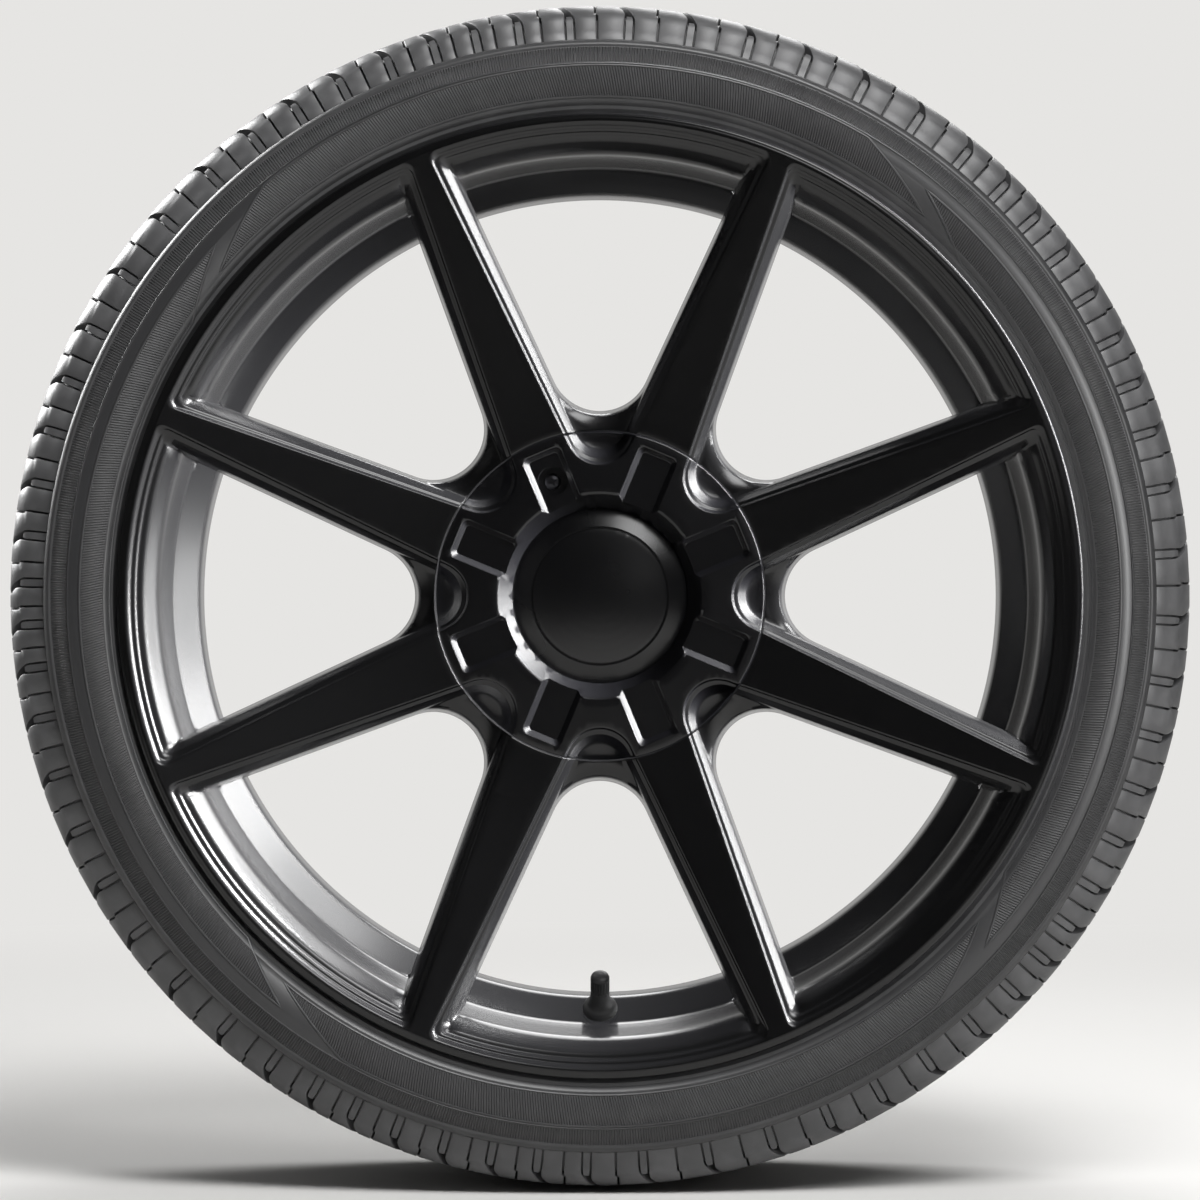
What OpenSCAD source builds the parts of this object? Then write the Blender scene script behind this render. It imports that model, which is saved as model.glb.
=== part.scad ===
// Car wheel: a low profile tyre on a cast eight spoke alloy rim, with its hub
// cover, centre cap and snap-in valve. Millimetres.
// The wheel spins about Y, its street side faces -Y and +Z is up. Inside each
// module x is right, y is up and z points out to the street, seen from there.

/* [Tyre] */
// Overall diameter
tyre_d = 637.2; // [634:0.2:640]
// Section width over the side walls
tyre_w = 230; // [228:1:234]
// Radius of the crown, measured across the tread
crown_r = 1000; // [800:50:1400]
// Half width of the crown, up to the start of the shoulder
tread_half_w = 85; // [82:1:88]
// Radius of the shoulder
shoulder_r = 16; // [13:1:18]
// Depth of the long grooves
groove_depth = 7.4; // [5:0.2:8]
// Width of the long grooves at the surface
groove_w = 10; // [7:1:12]
// Pitches round each shoulder, a block and a groove in each
pitch_count = 66; // [48:1:72]
// Width of a shoulder groove
notch_w = 3.6; // [2.5:0.1:5]
// Depth of a shoulder groove
notch_depth = 5.5; // [3:0.5:7]
// Slant of the shoulder grooves to the spin axis, in degrees
notch_slant = 9; // [0:1:15]
// Thickness of a side wall
side_wall_t = 7.8; // [6.5:0.1:9]

/* [Rim] */
// Diameter over the flanges
flange_d = 512; // [511:0.5:513]
// Width between the two flanges, where the tyre's beads sit
rim_w = 203.2; // [202:0.2:204]
// Wall thickness of the barrel
barrel_t = 4.5; // [4:0.1:5]
// Number of spokes, and of windows between them
spoke_count = 8; // [6:1:8]
// Height of the mounting face above the middle plane
offset_et = 45; // [42:1:48]
// Width of the stepped front edges of the spokes
spoke_edge_w = 3.1; // [2.5:0.1:3.5]

/* [Hub] */
// Diameter of the centre bore
hub_bore_d = 66.6; // [57:0.1:72]
// Diameter of the circle through the bolt holes
bolt_circle_d = 112; // [108:0.1:114.3]
// Number of bolt holes
bolt_count = 5; // [4:1:5]
// Diameter of a bolt hole
bolt_hole_d = 14.5; // [13:0.1:15]
// Diameter of the hub cover
cover_d = 176; // [174:0.5:178]
// Diameter of the centre cap
cap_d = 93.6; // [92:0.2:94]
// Diameter of the cap's dome
dome_d = 71.6; // [66:0.2:73]

/* [Valve] */
// Diameter of the valve hole in the rim
valve_hole_d = 11.5; // [11.3:0.1:11.7]
// Slope of the barrel wall that holds the valve, in degrees
valve_tilt = 40; // [38:1:42]
// Diameter of the dust cap
dust_cap_d = 10.2; // [9.6:0.1:11]

/* [Hidden] */

$fn = 96;
fit_gap = 0.05;
tyre_r = tyre_d / 2;
flange_r = flange_d / 2;
half_rim = rim_w / 2;
// J type flange: its height over the bead seat and the radii of its curl and foot
flange_h = 17.3;
curl_r = 9.65;
heel_r = 6.5;
seat_r = flange_r - flange_h;
seat_slope = tan(5);
curl_c = [flange_r - curl_r, half_rim + curl_r];
heel_c = [seat_r + heel_r, half_rim - heel_r];
// Side wall of the tyre: one arc, widest where its centre stands
side_r = 24.6;
side_c = [flange_r + 19, tyre_w / 2 - side_r];
side_top_a = 34;
side_low_a = 122;
// Long grooves, by their distance from the middle plane
groove_at = [20, 57];
pitch_a = 360 / pitch_count;
shoulder_a = asin(tread_half_w / crown_r);
shoulder_c = [tyre_r - crown_r, 0] + (crown_r - shoulder_r) * [cos(shoulder_a), sin(shoulder_a)];
shoulder_end_a = 70;
// Spoke and face heights
lip_z = half_rim + 12;
face_hub_z = 94;
face_lip_z = lip_z - 0.3;
face_lip_r = flange_r - 6;
face_bend = 1.25;
cover_r = cover_d / 2;
spoke_a = 360 / spoke_count;
side_lean = spoke_a / 2 + 3.5;
back_hub_z = offset_et + 5;
back_rim_z = offset_et + 13;
window_reach = face_lip_r + 3;
// Barrel: inner radius at the bead seat, the well, and the heights of the slope between
seat_in_r = seat_r - barrel_t - 4;
well_in_r = seat_in_r - 13.7;
slope_top_z = 61.5;
slope_low_z = slope_top_z - (seat_in_r - well_in_r - 0.8) / tan(valve_tilt);
// Hub
pad_z = offset_et + 22;
boss_z = offset_et + 23;
ledge_z = offset_et + 34;
screw_at = 66;
screw_a = 90 + spoke_a / 2;
screw_seat_z = 83;
cap_r = cap_d / 2;
cap_seat_z = 80;
// Valve: its axis stands on the barrel slope, 0 at the wall's inner face
valve_y = -(seat_in_r + well_in_r) / 2 - 0.4;
valve_z = (slope_top_z + slope_low_z) / 2;
hole_r = valve_hole_d / 2;
stem_top = 24.6;

// Points of an arc about c, from angle a0 to a1 in n steps
function arc(c, r, a0, a1, n) =
    [for (i = [0:n]) c + r * [cos(a0 + (a1 - a0) * i / n), sin(a0 + (a1 - a0) * i / n)]];
// The same points on the other side of the middle plane, in the other order
function mirrored(points) =
    [for (i = [len(points) - 1:-1:0]) [points[i][0], -points[i][1]]];
// A point of the side wall at angle a, raised by lift
function side(a, lift = 0) = side_c + (side_r + lift) * [cos(a), sin(a)];
// Height of the spokes' face at radius r
function face_z(r) =
    face_hub_z + (face_lip_z - face_hub_z) * pow(max(0, (r - cover_r) / (face_lip_r - cover_r)), face_bend);
// Height of the spokes' back at radius r
function back_z(r) = back_hub_z + (back_rim_z - back_hub_z) * (r - cover_r) / (face_lip_r - cover_r);

// Puts the wheel's own axis, z out to the street, along -Y
module on_axle() {
    rotate([90, 0, 0]) children();
}

// Copies its child once for each of n equal steps of a turn
module ring_of(n, start = 0) {
    for (i = [0:n - 1])
        rotate(start + i * 360 / n) children();
}

// Puts its child on the valve's axis
module on_valve() {
    translate([0, valve_y, valve_z]) rotate([valve_tilt - 90, 0, 0]) children();
}

// Tyre: half of the outer contour, from the crown to the bead's toe
function tyre_outer_half() = concat(
    arc([tyre_r - crown_r, 0], crown_r, 0, shoulder_a, 7),
    arc(shoulder_c, shoulder_r, shoulder_a + 8, shoulder_end_a, 7),
    [side(side_top_a)],
    [side(side_top_a + 1, 1.1), side(side_top_a + 7, 1.5), side(side_top_a + 13, 1.1)],
    [for (a = [side_top_a + 14:6.5:side_top_a + 37]) side(a)],
    [side(side_top_a + 39.5), side(side_top_a + 40, 0.6), side(side_top_a + 41.2, 0.6), side(side_top_a + 41.7)],
    [for (a = [side_top_a + 48:8:side_low_a]) side(a)],
    [curl_c + (curl_r + 2) * [cos(-18), sin(-18)]],
    arc(curl_c, curl_r + fit_gap, -32, -90, 5),
    arc(heel_c, heel_r + fit_gap - 2 * fit_gap, 90, 180, 5),
    [[seat_r + fit_gap - 12.6 * seat_slope, half_rim - heel_r - 12.6]]
);
// Tyre: half of the inner contour, from the bead's toe to the crown
function tyre_inner_half() = concat(
    [[seat_r + 0.6, half_rim - heel_r - 13.6], [seat_r + 5, half_rim - heel_r - 10]],
    [[seat_r + 18, half_rim - 5.5]],
    [for (a = [side_low_a:-16:side_top_a]) side(a, -side_wall_t)],
    [[shoulder_c[0] - 1.5, shoulder_c[1] + 8], [tyre_r - 18.2, tread_half_w - 6]],
    [[tyre_r - 15.6, tread_half_w * 0.6], [tyre_r - 14.6, tread_half_w * 0.25]]
);
function tyre_section() =
    let (half = concat(tyre_outer_half(), tyre_inner_half()))
    concat(half, mirrored([for (i = [1:len(half) - 1]) half[i]]));

// One long groove, tapered to its floor
module groove_section(z) {
    surface_r = tyre_r - z * z / (2 * crown_r);
    translate([surface_r, z])
        polygon([[2, groove_w / 2 + 0.4], [-groove_depth, groove_w / 2 - 1.4],
                 [-groove_depth, 1.4 - groove_w / 2], [2, -groove_w / 2 - 0.4]]);
}

// One shoulder groove: it starts in the outer long groove and fades out down the shoulder
module notch() {
    inner_z = groove_at[1] + groove_w / 2 - 2;
    floor_r = tyre_r - notch_depth;
    top_a = 12;
    low_a = 62;
    floor_top = shoulder_c + (shoulder_r - notch_depth) * [cos(top_a), sin(top_a)];
    floor_mid = shoulder_c + (shoulder_r - notch_depth + 0.5) * [cos(low_a - 18), sin(low_a - 18)];
    floor_low = shoulder_c + (shoulder_r - 2) * [cos(low_a + 2), sin(low_a + 2)];
    out_low = shoulder_c + (shoulder_r + 3) * [cos(low_a + 10), sin(low_a + 10)];
    rotate([-notch_slant, 0, 0])
        translate([0, notch_w / 2, 0])
            rotate([90, 0, 0])
                linear_extrude(height = notch_w)
                    polygon([[floor_r - 1.8, inner_z], floor_top, floor_mid, floor_low, out_low,
                             [tyre_r + 4, out_low[1]], [tyre_r + 4, inner_z]]);
}

module tyre() {
    color("#262626")
        on_axle()
            difference() {
                rotate_extrude()
                    difference() {
                        polygon(tyre_section());
                        for (z = groove_at) {
                            groove_section(z);
                            groove_section(-z);
                        }
                    }
                ring_of(pitch_count) notch();
                ring_of(pitch_count, pitch_a / 2) mirror([0, 0, 1]) notch();
            }
}

// Rim: one flange from the bead seat over its curl to the lip's face
function flange_contour() = concat(
    arc(heel_c, heel_r, 180, 90, 5),
    arc(curl_c, curl_r, -90, 0, 7),
    arc([flange_r - 2.1, curl_c[1]], 2.1, 20, 90, 4)
);
// Rim: outside of the barrel between the two bead seats, street side first
function barrel_outside() = [
    [seat_r - 13.6 * seat_slope, half_rim - heel_r - 13.6],
    [seat_r - 0.6, half_rim - 22.2], [seat_r - 0.1, half_rim - 24.1], [seat_r - 0.7, half_rim - 26],
    [seat_r - 2.3, half_rim - 30], [seat_r - 3.5, half_rim - 37.5],
    [seat_in_r + barrel_t * cos(valve_tilt), slope_top_z - barrel_t * sin(valve_tilt)],
    [well_in_r + 0.8 + barrel_t * cos(valve_tilt), slope_low_z - barrel_t * sin(valve_tilt)],
    [well_in_r + barrel_t, slope_low_z - 5], [well_in_r + barrel_t, 12], [well_in_r + barrel_t + 1.6, 2],
    [seat_r - 5, -44], [seat_r - 3.3, -52], [seat_r - 2.3, 30 - half_rim],
    [seat_r - 0.7, 26 - half_rim], [seat_r - 0.1, 24.1 - half_rim], [seat_r - 0.6, 22.2 - half_rim],
    [seat_r - 13.6 * seat_slope, 13.6 + heel_r - half_rim]
];
// Rim: inside of the barrel, from the back of the inner flange to the street lip
function barrel_inside() = [
    [flange_r - 5, 0.4 - lip_z], [flange_r - 8, 3 - lip_z], [flange_r - 17, 8 - lip_z],
    [seat_r - 4.6, 15 - lip_z], [seat_r - 6, 21 - lip_z],
    [seat_in_r + 0.6, -52], [seat_in_r - 1, -44], [well_in_r + 1.8, 3], [well_in_r, 14],
    [well_in_r, slope_low_z - 2.6], [well_in_r + 0.8, slope_low_z],
    [seat_in_r, slope_top_z], [seat_in_r + 0.8, slope_top_z + 3.4],
    [seat_in_r + 3.2, lip_z - 20], [seat_in_r + 4.2, lip_z - 16.4],
    [flange_r - 13, lip_z - 6.2], [flange_r - 10.2, lip_z - 2.6], [flange_r - 7.8, lip_z - 0.7]
];
function barrel_section() = concat(
    [for (i = [len(flange_contour()) - 1:-1:0]) flange_contour()[i]],
    barrel_outside(),
    [for (p = flange_contour()) [p[0], -p[1]]],
    barrel_inside()
);

// Spoke disc before the windows are cut: mounting pad, back, outer end in the barrel, face, hub well
function disc_section() = concat(
    [[hub_bore_d / 2 - 6, offset_et], [76, offset_et], [78, offset_et + 2], [cover_r, back_z(cover_r)]],
    [[seat_in_r + 2, back_z(seat_in_r)], [seat_in_r + 2.6, 66], [seat_in_r + 5.4, 92]],
    [[seat_in_r + 6.1, lip_z - 17], [flange_r - 13, lip_z - 9], [face_lip_r, lip_z - 4]],
    [for (r = [face_lip_r:-18:cover_r + 4]) [r, face_z(r)]],
    [[cover_r + 1, face_hub_z], [cover_r + 0.4, face_hub_z - 0.6], [cover_r + 0.4, ledge_z]],
    [[cover_r - 4, ledge_z], [cover_r - 4, pad_z], [46, pad_z], [43, boss_z], [hub_bore_d / 2 - 6, boss_z]]
);

// Outline of a window at one depth. low is its hub end, and shift how far its sides stand
// in from the edge of the face, where they are pivot_x out at the height pivot_y.
pivot_x = 50.6;
pivot_y = 150;
function window_outline(low, shift) =
    let (
        lean = side_lean - shift / 9,
        foot = (pivot_x - shift / cos(lean)) * cos(lean) - pivot_y * sin(lean),
        r = (foot + low * sin(lean)) / (1 - sin(lean)),
        touch = [r * cos(lean), low + r - r * sin(lean)],
        half = concat(
            arc([0, low + r], r, -90, -lean, 7),
            [for (y = [touch[1] + 28, touch[1] + 70, window_reach])
                [touch[0] + (y - touch[1]) * tan(lean), y]]
        )
    )
    concat([for (i = [len(half) - 1:-1:1]) [-half[i][0], half[i][1]]], half);

// The window's levels, from the back up: an outline, and how far over the back or under the face it lies
front_low = 70;
back_low = 99.9;
back_shift = 8.9;
function at_face(outline, down) = [for (p = outline) [p[0], p[1], face_z(norm(p)) - down]];
function at_back(outline, up) = [for (p = outline) [p[0], p[1], back_z(norm(p)) + up]];
function flat_at(outline, z) = [for (p = outline) [p[0], p[1], z]];
function window_levels() =
    let (
        back = window_outline(back_low - 1.1, back_shift - 1.3),
        edge = window_outline(front_low - 0.6, -0.6)
    )
    [
        flat_at(back, offset_et - 20),
        at_back(back, 0),
        at_back(window_outline(back_low, back_shift), 2.4),
        at_face(window_outline(back_low - 3, back_shift - 1.4), 14.5),
        at_face(window_outline(back_low - 7, back_shift - 1.8), 10.8),
        at_face(window_outline(front_low + 8, spoke_edge_w + 3.4), 8),
        at_face(window_outline(front_low + spoke_edge_w + 0.3, spoke_edge_w), 2.9),
        at_face(window_outline(front_low + 0.3, 0.3), 0.5),
        at_face(edge, -0.6),
        flat_at(edge, lip_z + 20)
    ];

// A solid through a list of closed outlines with the same number of points, counterclockwise from the last
module loft(levels) {
    n = len(levels[0]);
    last = len(levels) - 1;
    polyhedron(
        points = [for (level = levels) for (p = level) p],
        faces = concat(
            [[for (i = [0:n - 1]) i]],
            [[for (i = [n - 1:-1:0]) last * n + i]],
            [for (k = [0:last - 1]) for (i = [0:n - 1])
                [k * n + i, (k + 1) * n + i, (k + 1) * n + (i + 1) % n]],
            [for (k = [0:last - 1]) for (i = [0:n - 1])
                [k * n + i, (k + 1) * n + (i + 1) % n, k * n + (i + 1) % n]]
        )
    );
}

module window_cut() {
    loft(window_levels());
}

// Hollow in the back of a spoke
module spoke_hollow() {
    translate([0, 0, offset_et - 10])
        linear_extrude(height = 36)
            offset(r = 5)
                polygon([[-9, 114], [9, 114], [5.5, 196], [-5.5, 196]]);
}

module bolt_hole() {
    translate([0, 0, offset_et - 5])
        cylinder(d = bolt_hole_d, h = 40);
    translate([0, 0, pad_z - 8.2])
        cylinder(r1 = bolt_hole_d / 2, r2 = bolt_hole_d / 2 + 5.1, h = 8.8);
}

module wheel_rim() {
    color("#1a1a1c")
        on_axle()
            difference() {
                union() {
                    rotate_extrude() polygon(barrel_section());
                    difference() {
                        rotate_extrude() polygon(disc_section());
                        ring_of(spoke_count) window_cut();
                        ring_of(spoke_count, spoke_a / 2) spoke_hollow();
                    }
                    at_screw(pad_z - 1) cylinder(r = 7, h = screw_seat_z - 3.5 - pad_z + 1);
                }
                translate([0, 0, offset_et - 5])
                    cylinder(d = hub_bore_d, h = 60);
                translate([0, 0, offset_et - 1])
                    cylinder(d1 = hub_bore_d + 5, d2 = hub_bore_d, h = 2.5);
                ring_of(bolt_count) translate([0, bolt_circle_d / 2, 0]) bolt_hole();
                at_screw(pad_z) cylinder(d = 5, h = 20);
                on_valve()
                    translate([0, 0, -12])
                        cylinder(r = hole_r, h = 24);
            }
}

// Hub cover: section of the shell's outside, from the cap's seat to the joint with the rim
pocket_low = 48;
pocket_high = 80;
pocket_w = 20.7;
pocket_floor_w = 16.4;
pocket_depth = 3.6;
screw_well_r = 8;
shell_t = 3;
function cover_outside() = [
    [cap_r + 0.15, cap_seat_z + 3.4], [54.2, face_hub_z + 0.4], [54.8, face_hub_z + 1],
    [56, face_hub_z + 1.2], [cover_r - 12, face_hub_z + 0.7], [cover_r - 1, face_hub_z],
    [cover_r - 0.2, face_hub_z - 0.8], [cover_r - 0.2, ledge_z + 0.2]
];
// A pocket or its housing: a tapered trough that opens into the cap's dish
module pocket(w_top, w_floor, low, high, floor_z) {
    loft([
        for (level = [[w_top + 0.8, 0.4, face_hub_z + 3.5], [w_floor, -1.6, floor_z]])
            [for (p = [[-level[0] / 2, low], [-level[0] / 2, high + level[1] - 2],
                       [2 - level[0] / 2, high + level[1]], [level[0] / 2 - 2, high + level[1]],
                       [level[0] / 2, high + level[1] - 2], [level[0] / 2, low]])
                [p[0], p[1], level[2]]]
    ]);
}
module cover_pockets(grow, down) {
    ring_of(spoke_count, spoke_a / 2)
        pocket(pocket_w + 2 * grow, pocket_floor_w + 2 * grow, pocket_low - grow, pocket_high + grow,
               face_hub_z - pocket_depth - down);
}

// Puts its child on the axis of the cover's screw
module at_screw(z) {
    rotate(screw_a - 90)
        translate([0, screw_at, z]) children();
}

module hub_cover() {
    color("#19191b")
        on_axle()
            difference() {
                rotate_extrude()
                    polygon(concat(cover_outside(), [
                        [cover_r - 3.4, ledge_z + 0.2], [41, cap_seat_z - 6.5],
                        [41, cap_seat_z], [cap_r + 0.15, cap_seat_z]
                    ]));
                ring_of(spoke_count) window_cut();
                cover_pockets(0, 0);
                at_screw(screw_seat_z) cylinder(r = screw_well_r, h = 20);
                difference() {
                    rotate_extrude()
                        polygon([[43.4, cap_seat_z - 8], [43.4, cap_seat_z - 3], [cap_r + 2.4, cap_seat_z - 3],
                                 [57, face_hub_z - 2.4], [cover_r - 13, face_hub_z - 2.6],
                                 [cover_r - 3.4, face_hub_z - 3.2], [cover_r - 3.4, cap_seat_z - 8]]);
                    cover_pockets(shell_t - 0.4, shell_t);
                    at_screw(screw_seat_z - shell_t) cylinder(r = screw_well_r + 2.4, h = 20);
                    ring_of(spoke_count)
                        translate([-21, front_low - shell_t - 1, cap_seat_z - 10])
                            cube([42, 40, 40]);
                }
                at_screw(pad_z) cylinder(r = 7.6, h = screw_seat_z - shell_t - pad_z);
                at_screw(ledge_z - 5) cylinder(d = 6.6, h = 20);
            }
}

// Pan head screw with a cross recess
module cover_screw() {
    color("#2a2a2c")
        on_axle()
            at_screw(screw_seat_z)
                difference() {
                    union() {
                        rotate_extrude()
                            polygon([[0, 0.02], [4.3, 0.02], [4.4, 0.8], [4.1, 1.9], [3.2, 2.7], [1.6, 3.2], [0, 3.3]]);
                        translate([0, 0, -14]) cylinder(d = 4.9, h = 14.1);
                    }
                    translate([-2.3, -0.45, 1.5]) cube([4.6, 0.9, 3]);
                    translate([-0.45, -2.3, 1.5]) cube([0.9, 4.6, 3]);
                }
}

// Centre cap: sloping rim, round groove and a shallow dome, on snap legs
cap_legs = 8;
module centre_cap() {
    dome_r = dome_d / 2;
    dome_rise = 3.4;
    dome_ball = (dome_r * dome_r + dome_rise * dome_rise) / (2 * dome_rise);
    rim_z = cap_seat_z + 3.2;
    dome_z = cap_seat_z + 7.4;
    color("#161618")
        on_axle() {
            rotate_extrude()
                polygon(concat(
                    [[0, dome_z + dome_rise - 2.4], [dome_r - 6, dome_z - 1.2], [dome_r + 1.6, cap_seat_z + 2.4]],
                    [[cap_r - 5.8, cap_seat_z + fit_gap], [cap_r, cap_seat_z + fit_gap], [cap_r, rim_z - 0.6]],
                    [[cap_r - 0.6, rim_z], [dome_r + 1.5, dome_z - 0.5], [dome_r + 0.9, dome_z - 0.5]],
                    [[dome_r + 0.4, dome_z - 1.2], [dome_r, dome_z - 0.2]],
                    [for (i = [0:7])
                        let (a = asin(dome_r / dome_ball) * (1 - i / 7))
                        [dome_ball * sin(a), dome_z + dome_rise - dome_ball * (1 - cos(a))]]
                ));
            difference() {
                rotate_extrude()
                    polygon([for (p = [[38.4, 1.4], [38.4, -4.6], [37.9, -5.3], [37.9, -6.7], [38.4, -7.4],
                                       [38.4, -9.4], [40.2, -9.4], [41.6, -7.8], [40.7, -6.9], [40.7, 1.4]])
                        [p[0], cap_seat_z + p[1]]]);
                ring_of(cap_legs)
                    translate([-5, 30, cap_seat_z - 14]) cube([10, 20, 13]);
            }
        }
}

// Spring wire ring inside the cap's legs, open at one place
module cap_spring_ring() {
    color("#8d9094")
        on_axle()
            rotate(98)
                translate([0, 0, cap_seat_z - 3])
                    rotate_extrude(angle = 344)
                        translate([37.4, 0]) circle(r = 0.9, $fn = 24);
}

// Snap-in valve: rubber body with its foot inside the rim, neck in the hole and bulb outside
module valve_body() {
    color("#1f1f20")
        on_axle()
            on_valve()
                rotate_extrude()
                    polygon([[4.22, -11], [5.2, -12.6], [6.4, -11], [7.9, -6.6], [7.7, -barrel_t - 0.5],
                             [hole_r - fit_gap, -barrel_t - 0.3], [hole_r - fit_gap, 0.1], [9.3, 0.7],
                             [9.4, 2.6], [8.6, 4.2], [6.9, 5.6], [6, 7.4], [5.3, 10], [5, 14.4],
                             [4.6, 14.8], [4.22, 14.8]]);
}

// Brass tube that the rubber is moulded on; its top carries the cap's thread
module valve_stem() {
    color("#b08d57")
        on_axle()
            on_valve()
                rotate_extrude()
                    polygon([[1.5, -12.4], [3.4, -12.4], [4.2, -11], [4.2, 14.6], [3.85, 15.2],
                             [3.85, stem_top - 0.4], [3.45, stem_top], [2.6, stem_top], [2.6, 10.8],
                             [2, 8.6], [2, -1], [1.5, -1.8]]);
}

// Screw-in core: head with two flats, spring chamber and lower tube
module valve_core() {
    color("#c0a062")
        on_axle()
            on_valve()
                difference() {
                    rotate_extrude()
                        polygon([[0.85, 7.2], [1.5, 7.2], [1.5, 11], [2.3, 11.4], [2.3, 19.4], [2.5, 19.6],
                                 [2.5, 23.8], [1.25, 23.8], [1.25, 19.6], [1.6, 19], [1.6, 12], [0.85, 12]]);
                    for (x = [1.75, -4.75])
                        translate([x, -3, 21.4]) cube([3, 6, 4]);
                }
}

module valve_core_seal() {
    color("#8f2f2a")
        on_axle()
            on_valve()
                rotate_extrude()
                    polygon([[1.52, 8.9], [2.03, 8.9], [2.5, 10.75], [1.52, 10.95]]);
}

// Closing spring: a helix of fine wire round the pin
spring_turns = 6;
spring_wire_r = 0.2;
function spring_ring(i, n) =
    let (a = 360 * spring_turns * i / n, z = 12.35 + 4.95 * i / n)
    [for (k = [0:5])
        let (w = 60 * k, r = 1.12 + spring_wire_r * cos(w))
        [r * cos(a), r * sin(a), z + spring_wire_r * sin(w)]];
module valve_spring() {
    n = spring_turns * 16;
    color("#a8acb0")
        on_axle()
            on_valve()
                loft([for (i = [n:-1:0]) spring_ring(i, n)]);
}

// Pin with its spring collar and the cup that carries the seal
module valve_pin() {
    color("#b9a36c")
        on_axle()
            on_valve()
                rotate_extrude($fn = 48)
                    polygon([[0, 3.4], [1.1, 3.4], [1.3, 3.7], [1.3, 5.2], [0.6, 5.2], [0.6, 17.6],
                             [1.15, 17.6], [1.15, 18.2], [0.6, 18.2], [0.6, 23.7], [0.4, 24], [0, 24]]);
}

module valve_pin_seal() {
    color("#2c2c2d")
        on_axle()
            on_valve()
                rotate_extrude($fn = 48)
                    polygon([[0.62, 5.22], [1.35, 5.22], [1.35, 7.15], [0.62, 7.15]]);
}

// Dust cap with fine grip flutes and a rounded top
flute_count = 18;
module valve_cap() {
    r = dust_cap_d / 2;
    color("#1b1b1c")
        on_axle()
            on_valve()
                difference() {
                    rotate_extrude()
                        polygon([[3.93, 15.5], [4.15, 15], [r - 0.3, 15], [r, 15.3], [r, 24.4], [r - 0.5, 25.6],
                                 [r - 1.7, 26.4], [0, 26.8], [0, 25.5], [3.93, 25.5]]);
                    ring_of(flute_count)
                        translate([0, r + 0.25, 16.2]) cylinder(r = 0.5, h = 7.4, $fn = 24);
                }
}

module valve_cap_seal() {
    color("#2c2c2d")
        on_axle()
            on_valve()
                translate([0, 0, stem_top + 0.05])
                    difference() {
                        cylinder(r = 3.88, h = 0.8);
                        translate([0, 0, -1]) cylinder(r = 1.9, h = 3);
                    }
}

tyre();
wheel_rim();
hub_cover();
cover_screw();
centre_cap();
cap_spring_ring();
valve_body();
valve_stem();
valve_core();
valve_core_seal();
valve_spring();
valve_pin();
valve_pin_seal();
valve_cap();
valve_cap_seal();
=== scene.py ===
"""Looks of a car wheel with a low profile tyre on a black cast rim.

Meshes are worked out in the wheel's face frame, in millimetres: x right, y up and z out to the
street, as seen from the street. to_row() turns them to the row frame, in metres, where the street
side faces -Y and +Z is up.
"""

from __future__ import annotations

import logging
import math
from dataclasses import dataclass, field
from enum import Enum
from typing import Callable, Iterable, Sequence

import bmesh
import bpy
import numpy as np
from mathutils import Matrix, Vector
from mathutils.geometry import delaunay_2d_cdt

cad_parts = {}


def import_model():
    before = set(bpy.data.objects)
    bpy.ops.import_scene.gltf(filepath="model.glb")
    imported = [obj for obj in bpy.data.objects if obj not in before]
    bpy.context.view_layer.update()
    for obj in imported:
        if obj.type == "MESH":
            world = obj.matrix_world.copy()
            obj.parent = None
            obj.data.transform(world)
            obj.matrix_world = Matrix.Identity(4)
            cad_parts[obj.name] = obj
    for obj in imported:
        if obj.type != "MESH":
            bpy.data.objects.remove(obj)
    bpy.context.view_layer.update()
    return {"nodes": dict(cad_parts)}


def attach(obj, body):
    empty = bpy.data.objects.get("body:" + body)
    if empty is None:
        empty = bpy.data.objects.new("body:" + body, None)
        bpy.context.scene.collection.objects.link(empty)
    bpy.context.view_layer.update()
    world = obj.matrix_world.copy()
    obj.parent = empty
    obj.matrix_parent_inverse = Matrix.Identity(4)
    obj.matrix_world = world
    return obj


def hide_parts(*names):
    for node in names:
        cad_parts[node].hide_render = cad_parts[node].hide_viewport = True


LOG = logging.getLogger("car_wheel")
MM = 0.001


class Side(Enum):
    """The two sides of the wheel, by the sign of z in the face frame."""

    STREET = 1
    CAR = -1


# Geometry helpers


def to_row(points: np.ndarray) -> np.ndarray:
    """Turns (n, 3) points in face frame millimetres to row frame metres."""
    return np.column_stack((points[:, 0], -points[:, 2], points[:, 1])) * MM


def arc(centre: Sequence[float], radius: float, start: float, end: float, steps: int) -> np.ndarray:
    """Points of an arc in a plane, steps + 1 of them, from a start to an end in degrees."""
    angles = np.radians(np.linspace(start, end, steps + 1))
    return np.column_stack((centre[0] + radius * np.cos(angles), centre[1] + radius * np.sin(angles)))


def circle(centre: Sequence[float], radius: float, steps: int) -> np.ndarray:
    """Points of a full circle in a plane, the first one not repeated."""
    return arc(centre, radius, 0, 360 - 360 / steps, steps - 1)


def clockwise(radius: np.ndarray | float, angle: np.ndarray, z: np.ndarray | float) -> np.ndarray:
    """Points at angles in radians that run clockwise from the top, seen from the street."""
    return np.stack(np.broadcast_arrays(radius * np.sin(angle), radius * np.cos(angle), z), axis=-1)


def quads(rows: int, columns: int, wraps: bool) -> list[tuple[int, int, int, int]]:
    """Four-sided faces over a grid of points, row by row. If it wraps, they join its last column to the first."""
    return [
        (i * columns + j, i * columns + (j + 1) % columns, (i + 1) * columns + (j + 1) % columns, (i + 1) * columns + j)
        for i in range(rows - 1)
        for j in range(columns if wraps else columns - 1)
    ]


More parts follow.
